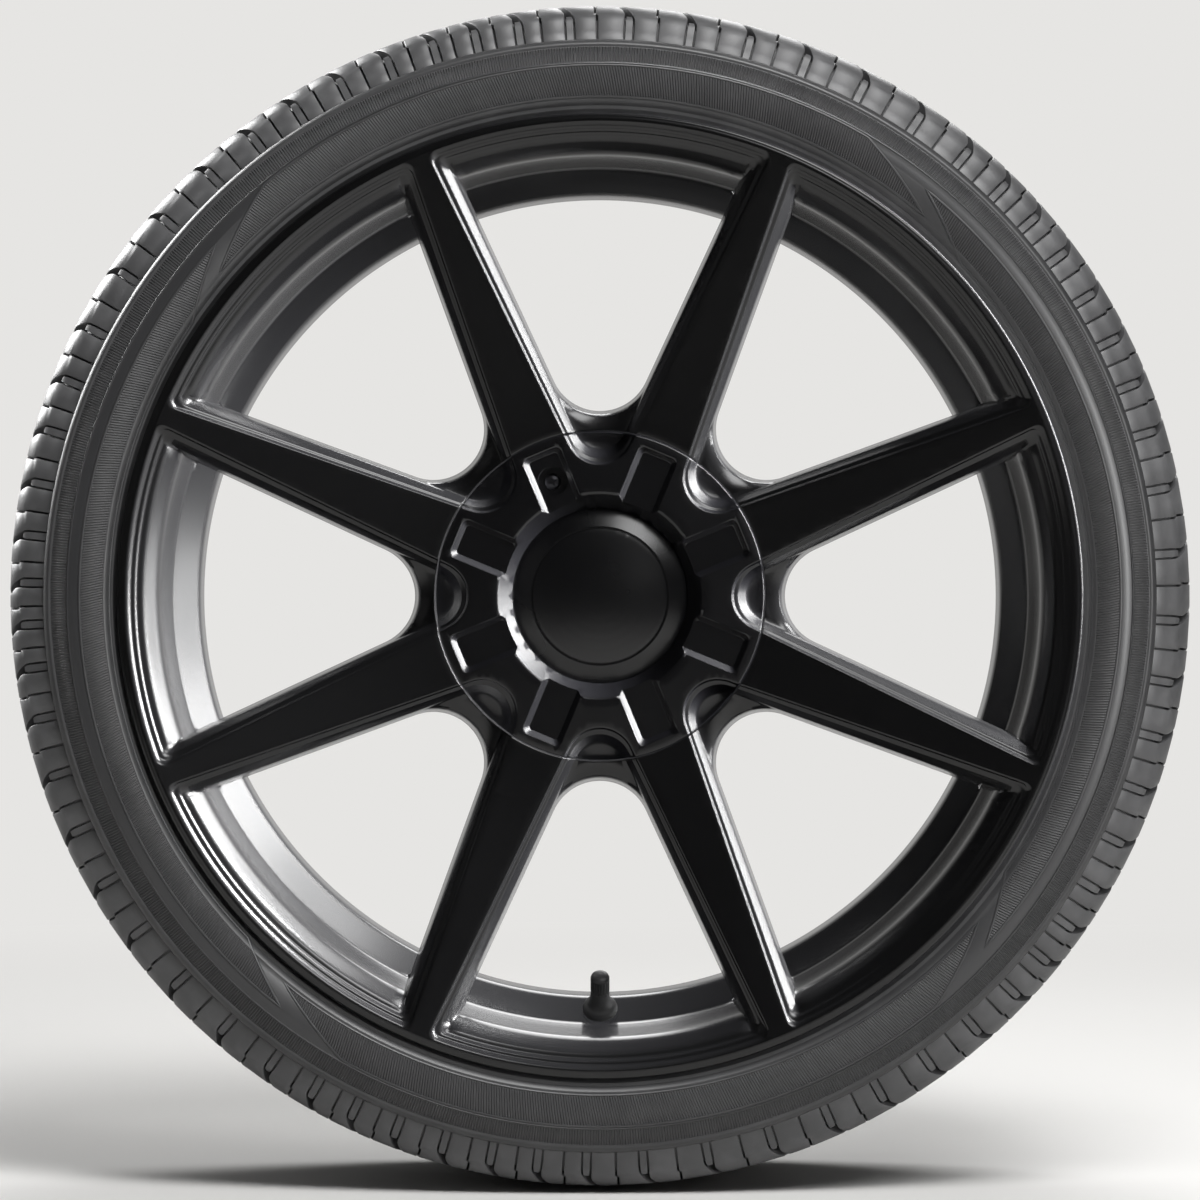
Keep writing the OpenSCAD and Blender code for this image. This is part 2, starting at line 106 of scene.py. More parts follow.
def radii(points: np.ndarray) -> np.ndarray:
    """Distances of points from the z axis."""
    return np.hypot(points[:, 0], points[:, 1])


def turned(points: np.ndarray, degrees: float) -> np.ndarray:
    """Turns points about the z axis, counterclockwise seen from the street."""
    a = math.radians(degrees)
    out = np.array(points, float)
    out[:, 0] = points[:, 0] * math.cos(a) - points[:, 1] * math.sin(a)
    out[:, 1] = points[:, 0] * math.sin(a) + points[:, 1] * math.cos(a)
    return out


def inside(polygon: np.ndarray, points: np.ndarray) -> np.ndarray:
    """Tells which points lie inside a closed polygon, by the crossing rule.

    Args:
        polygon: (m, 2) corners in order.
        points: (n, 2) points to test.

    Returns:
        An (n,) array of bool.
    """
    x, y = points[:, 0], points[:, 1]
    found = np.zeros(len(points), bool)
    ends = np.roll(polygon, -1, axis=0)
    for (x0, y0), (x1, y1) in zip(polygon, ends):
        crosses = (y0 > y) != (y1 > y)
        run = (x1 - x0) * (y - y0) / np.where(y1 == y0, 1e-12, y1 - y0) + x0
        found ^= crosses & (x < run)
    return found


@dataclass
class Draft:
    """A mesh under construction: points in the face frame, faces and a finish number for each."""

    points: list[np.ndarray] = field(default_factory=list)
    faces: list[tuple[int, ...]] = field(default_factory=list)
    finishes: list[int] = field(default_factory=list)
    count: int = 0

    def add(self, points: np.ndarray, faces: Iterable[Sequence[int]], finish: int | Sequence[int] = 0) -> None:
        """Adds points and the faces between them.

        Args:
            points: (n, 3) points.
            faces: Corner numbers within those points.
            finish: One finish number, or one for each face.
        """
        placed = [tuple(i + self.count for i in f) for f in faces]
        self.points.append(np.asarray(points, float))
        self.count += len(points)
        self.faces.extend(placed)
        self.finishes.extend([finish] * len(placed) if isinstance(finish, int) else finish)

    def grid(
        self, rows: np.ndarray, wraps: bool = False, flip: bool = False, finishes: Sequence[int] | None = None
    ) -> None:
        """Adds a grid of four-sided faces.

        Args:
            rows: (r, c, 3) points.
            wraps: Joins the last column to the first.
            flip: Turns the faces over.
            finishes: A finish number for each strip between two rows.
        """
        r, c = rows.shape[:2]
        faces = quads(r, c, wraps)
        strips = finishes or [0] * (r - 1)
        used = [finish for finish in strips for _ in range(len(faces) // (r - 1))]
        if flip:
            faces = [face[::-1] for face in faces]
        self.add(rows.reshape(-1, 3), faces, used)

    def revolve(self, profile: np.ndarray, steps: int, flip: bool = False) -> None:
        """Adds a surface of revolution about z, from (n, 2) points of radius and height."""
        a = np.linspace(0, 2 * np.pi, steps, endpoint=False)
        r, z = profile[:, 0][:, None], profile[:, 1][:, None]
        rows = np.stack((r * np.cos(a), r * np.sin(a), z + 0 * a), axis=-1)
        self.grid(rows, wraps=True, flip=flip)

    def object(self, name: str, finishes: Sequence[bpy.types.Material], sharp: float = 32.0) -> bpy.types.Object:
        """Makes the Blender object.

        Args:
            name: Its name.
            finishes: Its materials, by finish number.
            sharp: Edges that turn by more than this many degrees stay sharp.

        Returns:
            The new object, linked to the scene.
        """
        mesh = bpy.data.meshes.new(name)
        mesh.from_pydata(to_row(np.concatenate(self.points)).tolist(), [], self.faces)
        for finish in finishes:
            mesh.materials.append(finish)
        mesh.polygons.foreach_set("material_index", self.finishes)
        work = bmesh.new()
        work.from_mesh(mesh)
        bmesh.ops.remove_doubles(work, verts=work.verts, dist=2e-6)
        work.to_mesh(mesh)
        work.free()
        mesh.shade_smooth()
        mesh.set_sharp_from_angle(angle=math.radians(sharp))
        made = bpy.data.objects.new(name, mesh)
        bpy.context.scene.collection.objects.link(made)
        return made


def clipped(
    points: np.ndarray, faces: Iterable[Sequence[int]], limit: float, keep_outer: bool
) -> tuple[np.ndarray, list]:
    """Cuts a mesh along a cylinder about the z axis.

    Args:
        points: (n, 3) points.
        faces: Faces over those points.
        limit: The cylinder's radius.
        keep_outer: Keeps what lies outside it, or else what lies inside.

    Returns:
        The new points and the faces that are left.
    """
    beyond = radii(points) - limit
    if not keep_outer:
        beyond = -beyond
    out, made, kept = list(points), {}, []

    def crossing(a: int, b: int) -> int:
        """Number of the point where the edge from a to b meets the cylinder."""
        key = (min(a, b), max(a, b))
        if key not in made:
            t = beyond[a] / (beyond[a] - beyond[b])
            made[key] = len(out)
            out.append(points[a] + t * (points[b] - points[a]))
        return made[key]

    for face in faces:
        if all(beyond[i] >= 0 for i in face):
            kept.append(tuple(face))
            continue
        if all(beyond[i] <= 0 for i in face):
            continue
        corners = []
        for a, b in zip(face, [*face[1:], face[0]]):
            if beyond[a] >= 0:
                corners.append(a)
            if beyond[a] * beyond[b] < 0:
                corners.append(crossing(a, b))
        if len(corners) > 2:
            kept.append(tuple(corners))
    return np.array(out), kept


def filled(
    outlines: Sequence[np.ndarray], loose: Sequence[np.ndarray], wanted: Callable[[np.ndarray], np.ndarray]
) -> tuple[np.ndarray, list]:
    """Fills closed outlines with triangles.

    Args:
        outlines: Closed outlines, (n, 2) each, that the triangles must follow.
        loose: More points to use, (n, 2) each.
        wanted: Tells from the triangles' centres which of them to keep.

    Returns:
        The (n, 2) points, and the triangles that are kept, facing up.
    """
    edges: list[tuple[int, int]] = []
    count = 0
    for outline in outlines:
        edges += [(count + i, count + (i + 1) % len(outline)) for i in range(len(outline))]
        count += len(outline)
    flat = np.concatenate((*outlines, *loose))
    verts, _, faces, *_ = delaunay_2d_cdt([Vector(p) for p in flat], edges, [], 0, 1e-5)
    xy = np.array([(v.x, v.y) for v in verts])
    kept = []
    for face, keep in zip(faces, wanted(np.array([xy[list(f)].mean(0) for f in faces]))):
        if keep:
            a, b, c = xy[face[0]], xy[face[1]], xy[face[2]]
            up = (b[0] - a[0]) * (c[1] - a[1]) - (b[1] - a[1]) * (c[0] - a[0]) > 0
            kept.append(tuple(face) if up else tuple(face[::-1]))
    return xy, kept


def sheet(
    rings: Sequence[float],
    holes: Sequence[np.ndarray],
    height: Callable[[np.ndarray], np.ndarray],
    spacing: float,
) -> tuple[np.ndarray, list]:
    """A flat ring with holes, filled with triangles and laid on a height that follows the radius.

    Args:
        rings: Radii of the circles that edges must follow. The least and the greatest are its rims.
        holes: Closed outlines, (n, 2) each, that are left open.
        height: Gives z for an array of radii.
        spacing: Distance between the points inside, in millimetres.

    Returns:
        The points and the triangles.
    """
    low, high = min(rings), max(rings)
    circles = [circle((0, 0), r, max(96, int(2 * math.pi * r / spacing))) for r in rings]
    loose = []
    for radius in np.arange(low + spacing * 0.7, high - spacing * 0.3, spacing):
        if min(abs(radius - r) for r in rings) >= spacing * 0.4:
            ring = circle((0, 0), radius, max(48, int(2 * math.pi * radius / spacing)))
            loose.append(ring[~np.any([inside(h, ring) for h in holes], axis=0)])

    def wanted(centres: np.ndarray) -> np.ndarray:
        """Keeps what lies between the rims and outside the holes."""
        radius = radii(centres)
        return (radius > low) & (radius < high) & ~np.any([inside(h, centres) for h in holes], axis=0)

    xy, faces = filled([*circles, *holes], loose, wanted)
    return np.column_stack((xy, height(radii(xy)))), faces


def patch(border: np.ndarray, holes: Sequence[np.ndarray], z: float) -> tuple[np.ndarray, list]:
    """A flat piece with a closed border, filled with triangles.

    Args:
        border: (n, 2) outline.
        holes: Closed outlines that are left open.
        z: Its height.

    Returns:
        The points and the triangles, facing up.
    """

    def wanted(centres: np.ndarray) -> np.ndarray:
        """Keeps what lies inside the border and outside the holes."""
        return np.all([inside(border, centres), *(~inside(h, centres) for h in holes)], axis=0)

    xy, faces = filled([border, *holes], [], wanted)
    return np.column_stack((xy, np.full(len(xy), z))), faces


# Finishes


def linear(colour: str) -> tuple[float, float, float, float]:
    """Turns an sRGB hex colour to linear red, green and blue, with an alpha of 1."""
    parts = [int(colour[i : i + 2], 16) / 255 for i in (1, 3, 5)]
    r, g, b = (p / 12.92 if p <= 0.04045 else ((p + 0.055) / 1.055) ** 2.4 for p in parts)
    return r, g, b, 1.0


def node(tree: bpy.types.NodeTree, kind: str, settings: dict | None = None, **inputs: object) -> bpy.types.Node:
    """Adds one shader node with its settings, values and links.

    Args:
        tree: The material's node tree.
        kind: Blender's name of the node type.
        settings: Properties of the node itself.
        **inputs: Values or output sockets by input name, with _ for a space; i0, i1 count inputs.

    Returns:
        The new node.
    """
    made = tree.nodes.new(kind)
    for key, value in (settings or {}).items():
        setattr(made, key, value)
    for key, value in inputs.items():
        counted = key[0] == "i" and key[1:].isdigit()
        socket = made.inputs[int(key[1:])] if counted else made.inputs[key.replace("_", " ")]
        if isinstance(value, bpy.types.NodeSocket):
            tree.links.new(value, socket)
        else:
            socket.default_value = value
    return made


@dataclass(frozen=True)
class Finish:
    """One surface finish with a fine grain.

    grain_mm is the size of its grain, relief_mm how far that stands out, and spread how much the
    tone and the roughness wander over patches of patch_mm. dust is the colour of a thin bloom, and
    dust_share how much of it lies where it is thickest.
    """

    name: str
    colour: str
    roughness: float
    metallic: float = 0.0
    ior: float = 1.5
    grain_mm: float = 0.8
    relief_mm: float = 0.01
    patch_mm: float = 30.0
    spread: float = 0.12
    dust: str = ""
    dust_share: float = 0.0

    def build(self) -> bpy.types.Material:
        """Makes the material: shader, wandering tone and roughness, and grain as bump."""
        material = bpy.data.materials.new(self.name)
        material.use_nodes = True
        tree = material.node_tree
        shader = tree.nodes["Principled BSDF"]
        shader.inputs["Metallic"].default_value = self.metallic
        if not self.metallic:
            shader.inputs["IOR"].default_value = self.ior
        place = node(tree, "ShaderNodeTexCoord").outputs["Object"]
        patches = node(tree, "ShaderNodeTexNoise", Vector=place, Scale=1000 / self.patch_mm, Detail=3.0)
        dark, light = ((*(c * (1 + s) for c in linear(self.colour)[:3]), 1) for s in (-self.spread, self.spread))
        tone = node(
            tree, "ShaderNodeMix", {"data_type": "RGBA"}, i0=patches.outputs["Fac"], i6=dark, i7=light
        ).outputs[2]
        if self.dust:
            film = node(tree, "ShaderNodeTexNoise", Vector=place, Scale=1000 / (self.patch_mm * 0.35), Detail=6.0)
            amount = node(
                tree, "ShaderNodeMapRange", Value=film.outputs["Fac"], i1=0.45, i2=0.75, i3=0.0, i4=self.dust_share
            )
            tone = node(
                tree, "ShaderNodeMix", {"data_type": "RGBA"}, i0=amount.outputs[0], i6=tone, i7=linear(self.dust)
            ).outputs[2]
        tree.links.new(tone, shader.inputs["Base Color"])
        rough = node(
            tree, "ShaderNodeMapRange", Value=patches.outputs["Fac"], i1=0.3, i2=0.7,
            i3=self.roughness * (1 - self.spread * 0.5), i4=self.roughness * (1 + self.spread * 0.5),
        )
        tree.links.new(rough.outputs[0], shader.inputs["Roughness"])
        tree.links.new(self.relief(tree, place), shader.inputs["Normal"])
        return material

    def relief(self, tree: bpy.types.NodeTree, place: bpy.types.NodeSocket) -> bpy.types.NodeSocket:
        """Adds the grain at a place in metres, and gives the socket of the bumped normal."""
        grain = node(tree, "ShaderNodeTexNoise", Vector=place, Scale=1000 / self.grain_mm, Detail=2.0)
        return node(
            tree, "ShaderNodeBump", Strength=0.6, Distance=self.relief_mm * MM, Height=grain.outputs["Fac"]
        ).outputs[0]


@dataclass(frozen=True)
class Rubber(Finish):
    """Moulded rubber filled with carbon black, with a thin bloom."""

    ior: float = 1.52
    grain_mm: float = 1.1
    relief_mm: float = 0.04
    patch_mm: float = 45
    spread: float = 0.14
    dust_share: float = 0.3


@dataclass(frozen=True)
class RibbedRubber(Rubber):
    """Moulded rubber with fine ribs that fan out from the axle, leaned if wanted.

    rib_count counts the ribs in a full turn, lean is their turn in radians for each metre of radius,
    and rib_relief_mm says how far they stand out.
    """

    rib_count: int = 1280
    lean: float = 0.0
    rib_relief_mm: float = 0.3

    def relief(self, tree: bpy.types.NodeTree, place: bpy.types.NodeSocket) -> bpy.types.NodeSocket:
        """Adds the grain and the ribs at a place in metres, and gives the socket of the bumped normal."""
        parts = node(tree, "ShaderNodeSeparateXYZ", Vector=place)
        turn = node(tree, "ShaderNodeMath", {"operation": "ARCTAN2"}, i0=parts.outputs[0], i1=parts.outputs[2])
        squares = node(tree, "ShaderNodeCombineXYZ", X=parts.outputs[0], Y=parts.outputs[2])
        radius = node(tree, "ShaderNodeVectorMath", {"operation": "LENGTH"}, i0=squares.outputs[0])
        leaned = node(
            tree, "ShaderNodeMath", {"operation": "MULTIPLY_ADD"}, i0=radius.outputs["Value"], i1=self.lean,
            i2=turn.outputs[0],
        )
        phase = node(tree, "ShaderNodeMath", {"operation": "MULTIPLY"}, i0=leaned.outputs[0], i1=self.rib_count)
        wave = node(tree, "ShaderNodeMath", {"operation": "SINE"}, i0=phase.outputs[0])
        ribs = node(
            tree, "ShaderNodeBump", Strength=0.9, Distance=self.rib_relief_mm * MM, Height=wave.outputs[0],
            Normal=super().relief(tree, place),
        )
        return ribs.outputs[0]


# Tread and shoulder: natural rubber filled with carbon black, vulcanised in a mould. It scatters
# light widely, with a faint grey bloom and the mould's own fine grain.
TYRE_RUBBER = Rubber("vulcanised_rubber", "#3a3a3b", 0.46, relief_mm=0.05, spread=0.18, dust="#5a5a5b", dust_share=0.35)
# The same rubber on the bare side wall, darker and a little smoother: it takes broad highlights.
SIDE_RUBBER = Rubber("smooth_moulded_rubber", "#262627", 0.42, grain_mm=1.4, patch_mm=60, dust="#3e3e3f")
# Serrated band: fine ribs that glint in turn. Their pitch is 1.4 mm. The real one is nearer 1 mm,
# too fine to show.
SERRATED_RUBBER = RibbedRubber("serrated_rubber", "#282829", 0.46, dust="#404041")
# Hatched panels: leaned ribs, a matt patch beside the bare wall. Their pitch is 1.4 mm, too, a
# little coarser than the real one.
HATCHED_RUBBER = RibbedRubber(
    "hatched_rubber", "#262627", 0.46, patch_mm=40, dust="#3a3a3b", dust_share=0.25, rib_count=1220, lean=0.8
)
# Polished band between serrations and panels: the mould is bright there, so the rubber shines.
POLISHED_RUBBER = Rubber(
    "polished_moulded_rubber", "#262627", 0.3, grain_mm=1.4, relief_mm=0.015, patch_mm=60, spread=0.1
)
# Rim: cast aluminium under satin black powder coat, baked on. It flows slightly before it sets,
# which leaves a soft sheen with a fine orange peel.
SATIN_COAT = Finish(
    "satin_black_powder_coat", "#0b0b0c", 0.21, grain_mm=1.6, relief_mm=0.012, patch_mm=70, spread=0.08,
)
# Hub cover: moulded ABS, sprayed in the same satin black, with a finer skin and softer highlights.
PAINTED_ABS = Finish(
    "satin_black_painted_abs", "#0a0a0c", 0.24, grain_mm=1.0, relief_mm=0.008, patch_mm=50, spread=0.08,
)
# Centre cap: moulded ABS, sprayed satin black. Its dome takes one wide soft highlight.
CAP_ABS = Finish("satin_black_cap_abs", "#08080a", 0.27, grain_mm=0.9, relief_mm=0.006, patch_mm=40, spread=0.06)
# Dust cap: moulded polypropylene, a waxy dark surface.
CAP_POLYMER = Finish("moulded_polypropylene", "#1b1b1c", 0.48, ior=1.49, grain_mm=0.5, relief_mm=0.01, patch_mm=8)
# Valve body and seals: moulded EPDM rubber, matt with a faint grain.
VALVE_RUBBER = Rubber("moulded_epdm", "#1d1d1e", 0.58, grain_mm=0.6, relief_mm=0.02, patch_mm=10, spread=0.15)
# Seal of the valve core: moulded rubber in the usual red, matt.
RED_SEAL = Finish("red_sealing_rubber", "#8f2f2a", 0.55, ior=1.52, grain_mm=0.4, relief_mm=0.01, patch_mm=4)
# Screw: steel with a black phosphate skin, dull with a slight metallic sheen.
BLACK_STEEL = Finish("black_phosphated_steel", "#3a3a3d", 0.42, metallic=1.0, grain_mm=0.3, relief_mm=0.01, patch_mm=4)
# Valve parts: free-cutting brass, turned. The lathe leaves a fine satin.
TURNED_BRASS = Finish("turned_brass", "#b99a5b", 0.3, metallic=1.0, grain_mm=0.2, relief_mm=0.004, patch_mm=5)
# Springs: drawn stainless wire, bright along the drawing lines.
SPRING_WIRE = Finish("drawn_stainless_wire", "#a4a7aa", 0.26, metallic=1.0, grain_mm=0.2, relief_mm=0.003, patch_mm=5)


# Rim


@dataclass
class WindowLevel:
    """One outline down a window's wall.

    shift moves the sides into the window and low is the hub end's lowest point. drop is the depth in
    millimetres under the face, and share the part of the way from there to the spoke's back. outer_r
    and outer_z give the end at the rim.
    """

    shift: float
    low: float
    drop: float
    outer_r: float
    outer_z: float
    share: float = 0
    corner_r: float = 4.5


@dataclass
class SpokedFace:
    """Shape shared by the rim and the hub cover: the dished face, and the windows cut through it."""

    spokes: int = 8
    cover_r: float = 88.0
    lip_r: float = 250.0
    face_hub_z: float = 94.0
    face_lip_z: float = 113.3
    bend: float = 1.25
    back_hub_z: float = 50.0
    back_lip_z: float = 58.0
    lean: float = 26.0
    pivot: tuple[float, float] = (50.6, 150.0)
    joint_gap: float = 0.5
    joint_edge_r: float = 0.8

    def face(self, r: np.ndarray) -> np.ndarray:
        """Height of the face at radius r, with the shallow crown of the hub cover in the middle."""
        t = np.clip((np.asarray(r, float) - self.cover_r) / (self.lip_r - self.cover_r), 0, None)
        crown = np.clip((self.cover_r - np.asarray(r, float)) / 32, 0, 1) * 1.1
        return self.face_hub_z + (self.face_lip_z - self.face_hub_z) * t**self.bend + crown

    def back(self, r: np.ndarray) -> np.ndarray:
        """Height of the spokes' back at radius r."""
        t = (np.asarray(r, float) - self.cover_r) / (self.lip_r - self.cover_r)
        return self.back_hub_z + (self.back_lip_z - self.back_hub_z) * t

    def sunk(self, r: np.ndarray) -> np.ndarray:
        """How far the rounded edges of the joint between rim and cover lower the surface at radius r."""
        away = np.abs(np.asarray(r, float) - self.cover_r) - self.joint_gap / 2
        near = np.clip(1 - away / self.joint_edge_r, 0, 1)
        return self.joint_edge_r * (1 - np.sqrt(1 - near**2))

    def joint_rings(self, side: int) -> list[float]:
        """Radii of the rings that draw the joint's rounded edge on the rim (1) or the cover (-1)."""
        edge = self.cover_r + side * self.joint_gap / 2
        return [edge + side * self.joint_edge_r * t for t in (0, 0.12, 0.35, 0.65, 1)]

    def levels(self) -> list[WindowLevel]:
        """The outlines down a window's wall, from the face to the spoke's back.

        Returns:
            A rounded and stepped edge at the face, the wall with the flat scoop at the hub end and the
            cove at the rim end, and a rounded back edge.
        """
        rows = (
            (-0.60, 69.40, 0.00, 251.5, 113.47),
            (-0.25, 69.75, 0.04, 250.9, 113.36),
            (0.05, 70.05, 0.16, 250.3, 113.00),
            (0.30, 70.30, 0.40, 249.7, 112.45),
            (0.48, 70.50, 0.75, 249.1, 111.80),
            (0.62, 70.65, 1.20, 248.6, 111.25),
            (0.78, 70.85, 1.60, 248.2, 110.98),
            (1.05, 71.15, 1.95, 247.7, 110.85),
            (1.45, 71.60, 2.20, 247.1, 110.72),
            (2.00, 72.20, 2.36, 246.6, 110.45),
            (2.60, 72.90, 2.55, 246.1, 109.95),
            (3.00, 73.40, 2.80, 245.7, 109.40),
            (3.30, 73.80, 3.10, 245.2, 108.95),
            (4.20, 74.80, 4.30, 244.4, 108.70, 0, 4.0),
            (5.40, 76.20, 6.00, 243.2, 108.40, 0, 3.2),
            (6.30, 77.40, 7.40, 242.2, 107.80, 0, 2.4),
            (6.60, 78.20, 8.10, 240.5, 105.80, 0, 1.9),
            (6.75, 80.00, 8.70, 238.5, 103.40, 0, 1.6),
            (6.85, 84.00, 9.30, 236.8, 101.20, 0, 1.5),
            (6.95, 89.00, 9.90, 235.4, 98.80, 0, 1.5),
            (7.10, 93.00, 10.80, 234.6, 96.30, 0, 1.5),
            (7.30, 95.60, 12.20, 234.1, 92.50, 0, 1.5),
            (7.50, 96.90, 14.50, 233.4, 86.00, 0, 1.5),
            (7.90, 97.90, 14.50, 232.2, 75.50, 0.4, 1.5),
            (8.60, 99.40, 14.50, 230.9, 64.30, 0.85, 1.5),
            (8.90, 99.90, 14.50, 230.2, 61.60, 0.95, 1.5),
            (8.70, 99.70, 14.50, 229.4, 60.30, 0.985, 1.5),
            (7.60, 98.80, 14.50, 228.3, 59.20, 1.0, 1.5),
        )
        return [WindowLevel(*row) for row in rows]

    def outline(self, level: WindowLevel) -> np.ndarray:
        """The closed outline of the top window at one level, counterclockwise from the upper left.

        A round hub end runs on into straight sides, and small corners join those to the arc at the rim.

        Args:
            level: Which outline.

        Returns:
            An (n, 3) array.
        """
        lean = math.radians(self.lean - level.shift / 9)
        out, along = np.array((math.cos(lean), -math.sin(lean))), np.array((math.sin(lean), math.cos(lean)))
        foot = float(np.array(self.pivot) @ out) - level.shift
        end_r = (foot + level.low * math.sin(lean)) / (1 - math.sin(lean))
        hub_end = arc((0, level.low + end_r), end_r, -90, -math.degrees(lean), 18)
        c = level.corner_r
        middle = out * (foot - c) + along * math.sqrt((level.outer_r - c) ** 2 - (foot - c) ** 2)
        tip = math.degrees(math.atan2(middle[1], middle[0]))
        t = np.linspace(0, 1, 35)[:, None]
        side = hub_end[-1] * (1 - t) + (middle + c * out) * t
        corner = arc(middle, c, -math.degrees(lean), tip, 8)
        end = arc((0, 0), level.outer_r, tip, 90, 16)
        half = np.concatenate((hub_end, side[1:], corner[1:], end[1:]))
        weight = np.concatenate((np.zeros(len(hub_end) + len(side) - 1), np.linspace(0, 1, 9)[1:], np.ones(16)))
        r = radii(half)
        face, back = self.face(r) - level.drop, self.back(r)
        z = (face + (back - face) * level.share) * (1 - weight) + level.outer_z * weight
        right = np.column_stack((half, z))
        left = right[-2:0:-1] * (-1, 1, 1)
        return np.concatenate((left, right))

    def windows(self, number: int) -> list[np.ndarray]:
        """Flat outlines of all the windows at one level, by the level's number."""
        top = self.outline(self.levels()[number])[:, :2]
        return [turned(top, i * 360 / self.spokes) for i in range(self.spokes)]

    def walls(self, draft: Draft, side: int) -> None:
        """Adds the windows' walls on one side of the joint between rim and cover.

        Args:
            draft: Mesh to add to.
            side: 1 for the rim's side of the joint, -1 for the cover's.
        """
        rows = np.stack([self.outline(level) for level in self.levels()])
        faces = quads(*rows.shape[:2], True)
        rings = self.joint_rings(side)
        for near, far in zip(rings, [*rings[1:], None]):
            points, kept = clipped(rows.reshape(-1, 3), faces, near, side > 0)
            if far is not None:
                points, kept = clipped(points, kept, far, side < 0)
            points[:, 2] -= self.sunk(radii(points))
            used = sorted({i for f in kept for i in f})
            renumber = {old: new for new, old in enumerate(used)}
            kept = [tuple(renumber[i] for i in f) for f in kept]
            for i in range(self.spokes):
                draft.add(turned(points[used], i * 360 / self.spokes), kept)


@dataclass
class Rim:
    """The cast rim: barrel, flanges, spokes, hub with its bore and bolt holes."""

    shape: SpokedFace
    flange_r: float = 256.0
    half_width: float = 101.6
    curl_r: float = 9.65
    steps: int = 288
    bore_r: float = 33.3
    bolt_circle_r: float = 56.0
    bolt_r: float = 7.25
    bolts: int = 5
    pad_r: float = 76.0
    pad_z: float = 45.0
    seat_z: float = 67.0
    seat_r: float = 12.0
    face_end_r: float = 251.6
    back_end_r: float = 228.3
    recess_z: float = 79.0
    bead_r: float = 6.5

    def build(self, finish: bpy.types.Material) -> bpy.types.Object:
        """Builds the rim in its finish and puts it in the CAD node's place."""
        draft = Draft()
        self.front(draft)
        self.barrel(draft)
        self.spoke_backs(draft)
        self.hub(draft)
        made = draft.object("wheel_rim_cast", [finish])
        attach(made, "wheel")
        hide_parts("wheel_rim")
        return made

    def front(self, draft: Draft) -> None:
        """Adds the spokes' face and the windows' walls."""
        s = self.shape
        points, faces = sheet((*s.joint_rings(1), self.face_end_r), s.windows(0), s.face, 5.0)
        points[:, 2] -= s.sunk(radii(points))
        draft.add(points, faces)
        s.walls(draft, 1)
        edge = s.cover_r + s.joint_gap / 2
        top, low = s.face_hub_z - s.joint_edge_r, self.recess_z
        draft.revolve(np.array(((edge, top), (edge, low), (s.cover_r - 4, low))), 192)

    def barrel(self, draft: Draft) -> None:
        """Adds the lip, the flanges and the inside of the barrel."""
        seat_r, lip_z = self.flange_r - 17.3, self.half_width + 12
        curl = (self.flange_r - self.curl_r, self.half_width + self.curl_r)
        heel = (seat_r + self.bead_r, self.half_width - self.bead_r)
        nose = arc((self.flange_r - 2.1, curl[1]), 2.1, 100, 0, 7)
        lip = np.concatenate((
            [(self.face_end_r, 113.5), (252.4, 113.52), (253.2, 113.48)], nose,
            arc(curl, self.curl_r, -4, -90, 10)[1:], arc(heel, self.bead_r, 90, 180, 6),
        ))
        draft.revolve(lip, self.steps, flip=True)
        inside_wall = np.array((
            (self.back_end_r, 59.2), (224.0, 54.1), (218.6, 47.6), (217.6, 46.2), (216.9, 44.6), (216.5, 42.6),
            (216.5, 32), (216.5, 14.6), (216.6, 12.8), (217.4, 7), (218.3, 2.4), (220.4, -5), (224.2, -22),
            (228.8, -42.6), (230.2, -49), (231, -56), (232.3, -88), (233.2, -94), (234.6, -99), (237, -102.6),
            (240.4, -105.2), (244, -107.6), (247.2, -110), (249.4, -112.2), (250.8, -113), (252, -113.2),
            (254, -113.2), (255.2, -112.8), (256, -111.4),
        ))
        draft.revolve(inside_wall, self.steps)
        flange = arc((curl[0], -curl[1]), self.curl_r, 0, 90, 10)
        bead = arc((heel[0], -heel[1]), self.bead_r, -90, -180, 6)
        draft.revolve(np.concatenate((flange, bead)), self.steps)

    def spoke_backs(self, draft: Draft) -> None:
        """Adds the spokes' backs with their hollows."""
        s = self.shape
        angles = [(i + 0.5) * 360 / s.spokes for i in range(s.spokes)]
        tops = [turned(self.hollow_outline(0), angle) for angle in angles]
        pad_edge, pad_top = self.pad_r + 2, self.pad_z + 2
        points, faces = sheet((pad_edge, s.cover_r, self.back_end_r), [*s.windows(-1), *tops], s.back, 7.0)
        r = radii(points)
        slope = (s.back_hub_z - pad_top) * (r - pad_edge) / (s.cover_r - pad_edge)
        points[:, 2] = np.where(r < s.cover_r - 0.1, pad_top + slope, points[:, 2])
        draft.add(points, [f[::-1] for f in faces])
        levels = [(0.0, 0.0), (0.6, 0.4), (1.0, 1.2), (1.4, 3.0), (3.2, 28.0), (4.0, 30.0), (5.5, 31.0)]
        for angle in angles:
            rows = []
            for shrink, depth in levels:
                outline = turned(self.hollow_outline(shrink), angle)
                z = s.back(radii(outline)) + depth
                rows.append(np.column_stack((outline, np.minimum(z, 84.0))))
            stack = np.stack(rows)
            draft.grid(stack, wraps=True, flip=True)
            draft.add(stack[-1], [tuple(range(len(outline)))[::-1]])

    @staticmethod
    def hollow_outline(shrink: float) -> np.ndarray:
        """Outline of the hollow in the back of the top spoke, drawn in by shrink millimetres."""
        corners = ((-9.0, 114.0), (9.0, 114.0), (5.5, 196.0), (-5.5, 196.0))
        turns = ((180, 270), (270, 362), (2, 90), (90, 178))
        radius = 5 - min(shrink, 4.5)
        pull = max(0.0, shrink - 4.5)
        parts = []
        for (x, y), (a0, a1) in zip(corners, turns):
            centre = (x - math.copysign(pull, x), y + (pull if y < 150 else -pull))
            parts.append(arc(centre, radius, a0, a1, 6))
        return np.concatenate(parts)

